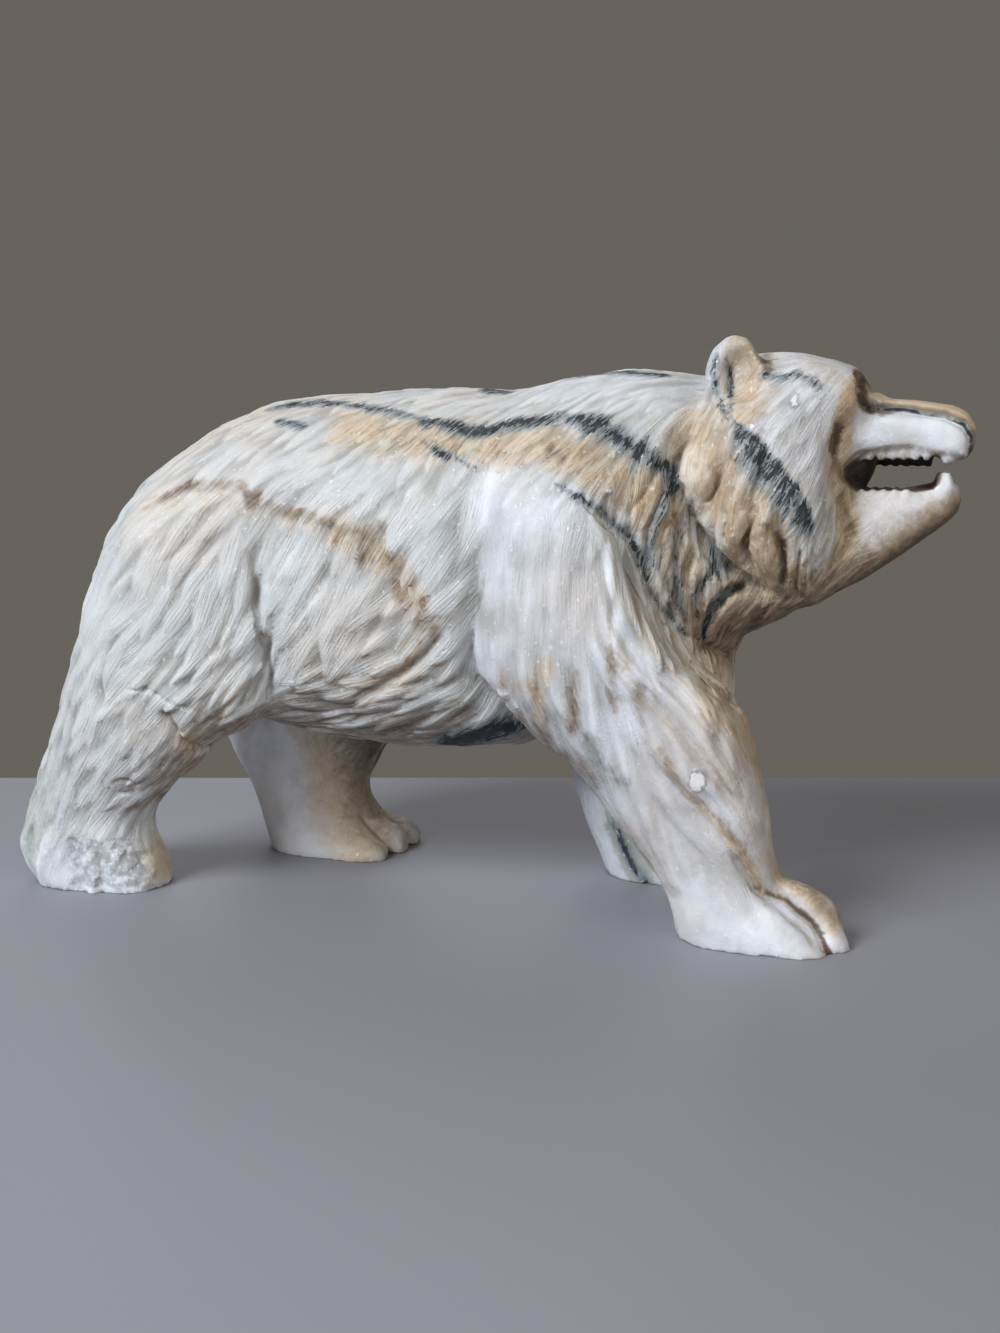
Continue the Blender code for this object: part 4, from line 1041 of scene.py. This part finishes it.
# Painted shade darkens the cuts between locks; crests are bruised white
hollow_shade = product(step_up(crest, 0.5, 0.0), coat)
ground = mixed(ground, colour("A9A49E"), product(hollow_shade, 0.7), "MULTIPLY")
bruised = product(product(product(step_up(crest, 0.6, 1.2), coat), sum_of(1.0, in_seam, -1.0)), 0.2)
ground = mixed(ground, colour("F2F3F7"), bruised)
tone = add("ShaderNodeMapRange", {"Value": lock, "To Min": 0.9, "To Max": 1.04}).outputs[0]
grey = add("ShaderNodeCombineColor", {0: tone, 1: tone, 2: tone}).outputs[0]
ground = mixed(ground, grey, product(coat, 0.7), "MULTIPLY")
ground = mixed(ground, colour("FBFCFE"), step_up(crystal, 0.5, 0.9))
in_heel = product(crystal, step_up(crystal, 0.9, 0.5))
ground = mixed(ground, colour("A4A8AC"), product(product(in_heel, step_up(cloud_fine, 0.3, 0.6)), 2))

# Cleaved crystals: cells half a millimetre across, a few of them flat and shiny
CRYSTAL = 0.5  # mm
cells = add("ShaderNodeTexVoronoi", {"Vector": place, "Scale": 1 / (CRYSTAL * MM)})
chance = add("ShaderNodeSeparateColor", {0: cells.outputs["Color"]}).outputs[0]
glint = product(step_up(sum_of(chance, crystal, 0.2), 0.972, 0.99), step_up(brown_and_shade, 0.8, 0.1))
# The shiniest cells are also painted white: painted glints
ground = mixed(ground, colour("FFFFFF"), product(product(glint, sum_of(1.0, in_seam, -1.0)), 0.4))
tree.links.new(ground, shader.inputs["Base Color"])

rough = sum_of(sum_of(sum_of(sum_of(0.34, cloud_fine, 0.22), coat, 0.1), in_seam, 0.15), glint, -0.3)
tree.links.new(rough, shader.inputs["Roughness"])
shader.inputs["IOR"].default_value = 1.58
shader.inputs["Subsurface Weight"].default_value = 0.22
shader.inputs["Subsurface Radius"].default_value = (1.0, 0.72, 0.5)
shader.inputs["Subsurface Scale"].default_value = 0.003

stroke_depth = add(
    "ShaderNodeBump",
    {"Height": product(burr_marks, coat), "Strength": 1.0, "Distance": 0.5 * MM},
)
crystal_height = sum_of(product(grain, 0.8), product(chance, sum_of(0.25, crystal, 3.0)))
crystal_depth = add(
    "ShaderNodeBump",
    {"Height": crystal_height, "Strength": 1.0, "Distance": 0.14 * MM, "Normal": stroke_depth.outputs[0]},
)
tree.links.new(crystal_depth.outputs[0], shader.inputs["Normal"])

bear.data.materials.clear()
bear.data.materials.append(calcite)
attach(bear, "root")
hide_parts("bear")

# ------------------------------------------
# The table, lights and camera
# A plain pale table top under soft daylight from the upper left, and a weaker fill from the right.

TABLE_WIDTH = 4.0  # m
TABLE_BACK = 0.1  # from the bear's middle to the table's far edge, m
TABLE_TURN = math.radians(15.6)  # the bear stands at a slight angle to the table
table_top = bmesh.new()
bmesh.ops.create_grid(table_top, x_segments=1, y_segments=1, size=TABLE_WIDTH / 2)
bmesh.ops.translate(table_top, vec=(0, TABLE_BACK - TABLE_WIDTH / 2, 0), verts=table_top.verts)
turned = Matrix.Rotation(TABLE_TURN, 3, "Z")
bmesh.ops.rotate(table_top, cent=(0, 0, 0), matrix=turned, verts=table_top.verts)
table_mesh = bpy.data.meshes.new("table_top")
table_top.to_mesh(table_mesh)
table_top.free()
table = bpy.data.objects.new("table_top", table_mesh)
bpy.context.scene.collection.objects.link(table)
paint = bpy.data.materials.new("eggshell paint")
paint.use_nodes = True
paint.node_tree.nodes["Principled BSDF"].inputs["Base Color"].default_value = colour("92939B")
paint.node_tree.nodes["Principled BSDF"].inputs["Roughness"].default_value = 0.5
table.data.materials.append(paint)


AIM = (0, 0, 0.05)  # every light points at the middle of the bear, m


def soft_light(name, place, width, watts, tint):
    """A square lamp of that width in metres."""
    lamp = bpy.data.lights.new(name, "AREA")
    lamp.shape = "SQUARE"
    lamp.size = width
    lamp.energy = watts
    lamp.color = colour(tint)[:3]
    held = bpy.data.objects.new(name, lamp)
    held.location = place
    held.rotation_mode = "QUATERNION"
    held.rotation_quaternion = (Vector(AIM) - Vector(place)).to_track_quat("-Z", "Y")
    bpy.context.scene.collection.objects.link(held)


soft_light("window", (-0.47, -0.76, 0.66), 0.5, 12.2, "F4F7FF")
soft_light("fill", (0.8, -0.7, 0.4), 0.8, 3, "FFF4EA")
soft_light("back", (-0.4, 0.9, 0.8), 0.8, 3, "F4F7FF")

world = bpy.data.worlds.new("studio")
world.use_nodes = True
world.node_tree.nodes["Background"].inputs[0].default_value = colour("B3ADA2")
world.node_tree.nodes["Background"].inputs[1].default_value = 0.3
bpy.context.scene.world = world

lens = bpy.data.cameras.new("camera")
lens.sensor_width = 36
lens.lens = 41.86
lens.clip_start = 0.01
camera = bpy.data.objects.new("camera", lens)
bpy.context.scene.collection.objects.link(camera)
tip = math.radians(9.054)  # the camera looks square on at the table, and down by this much
ahead = math.cos(tip)
looking = Vector((-math.sin(TABLE_TURN) * ahead, math.cos(TABLE_TURN) * ahead, -math.sin(tip)))
camera.location = (0.09236, -0.31559, 0.10027)
camera.rotation_mode = "QUATERNION"
camera.rotation_quaternion = looking.to_track_quat("-Z", "Y")
bpy.context.scene.camera = camera
bpy.context.scene.view_settings.view_transform = "Standard"
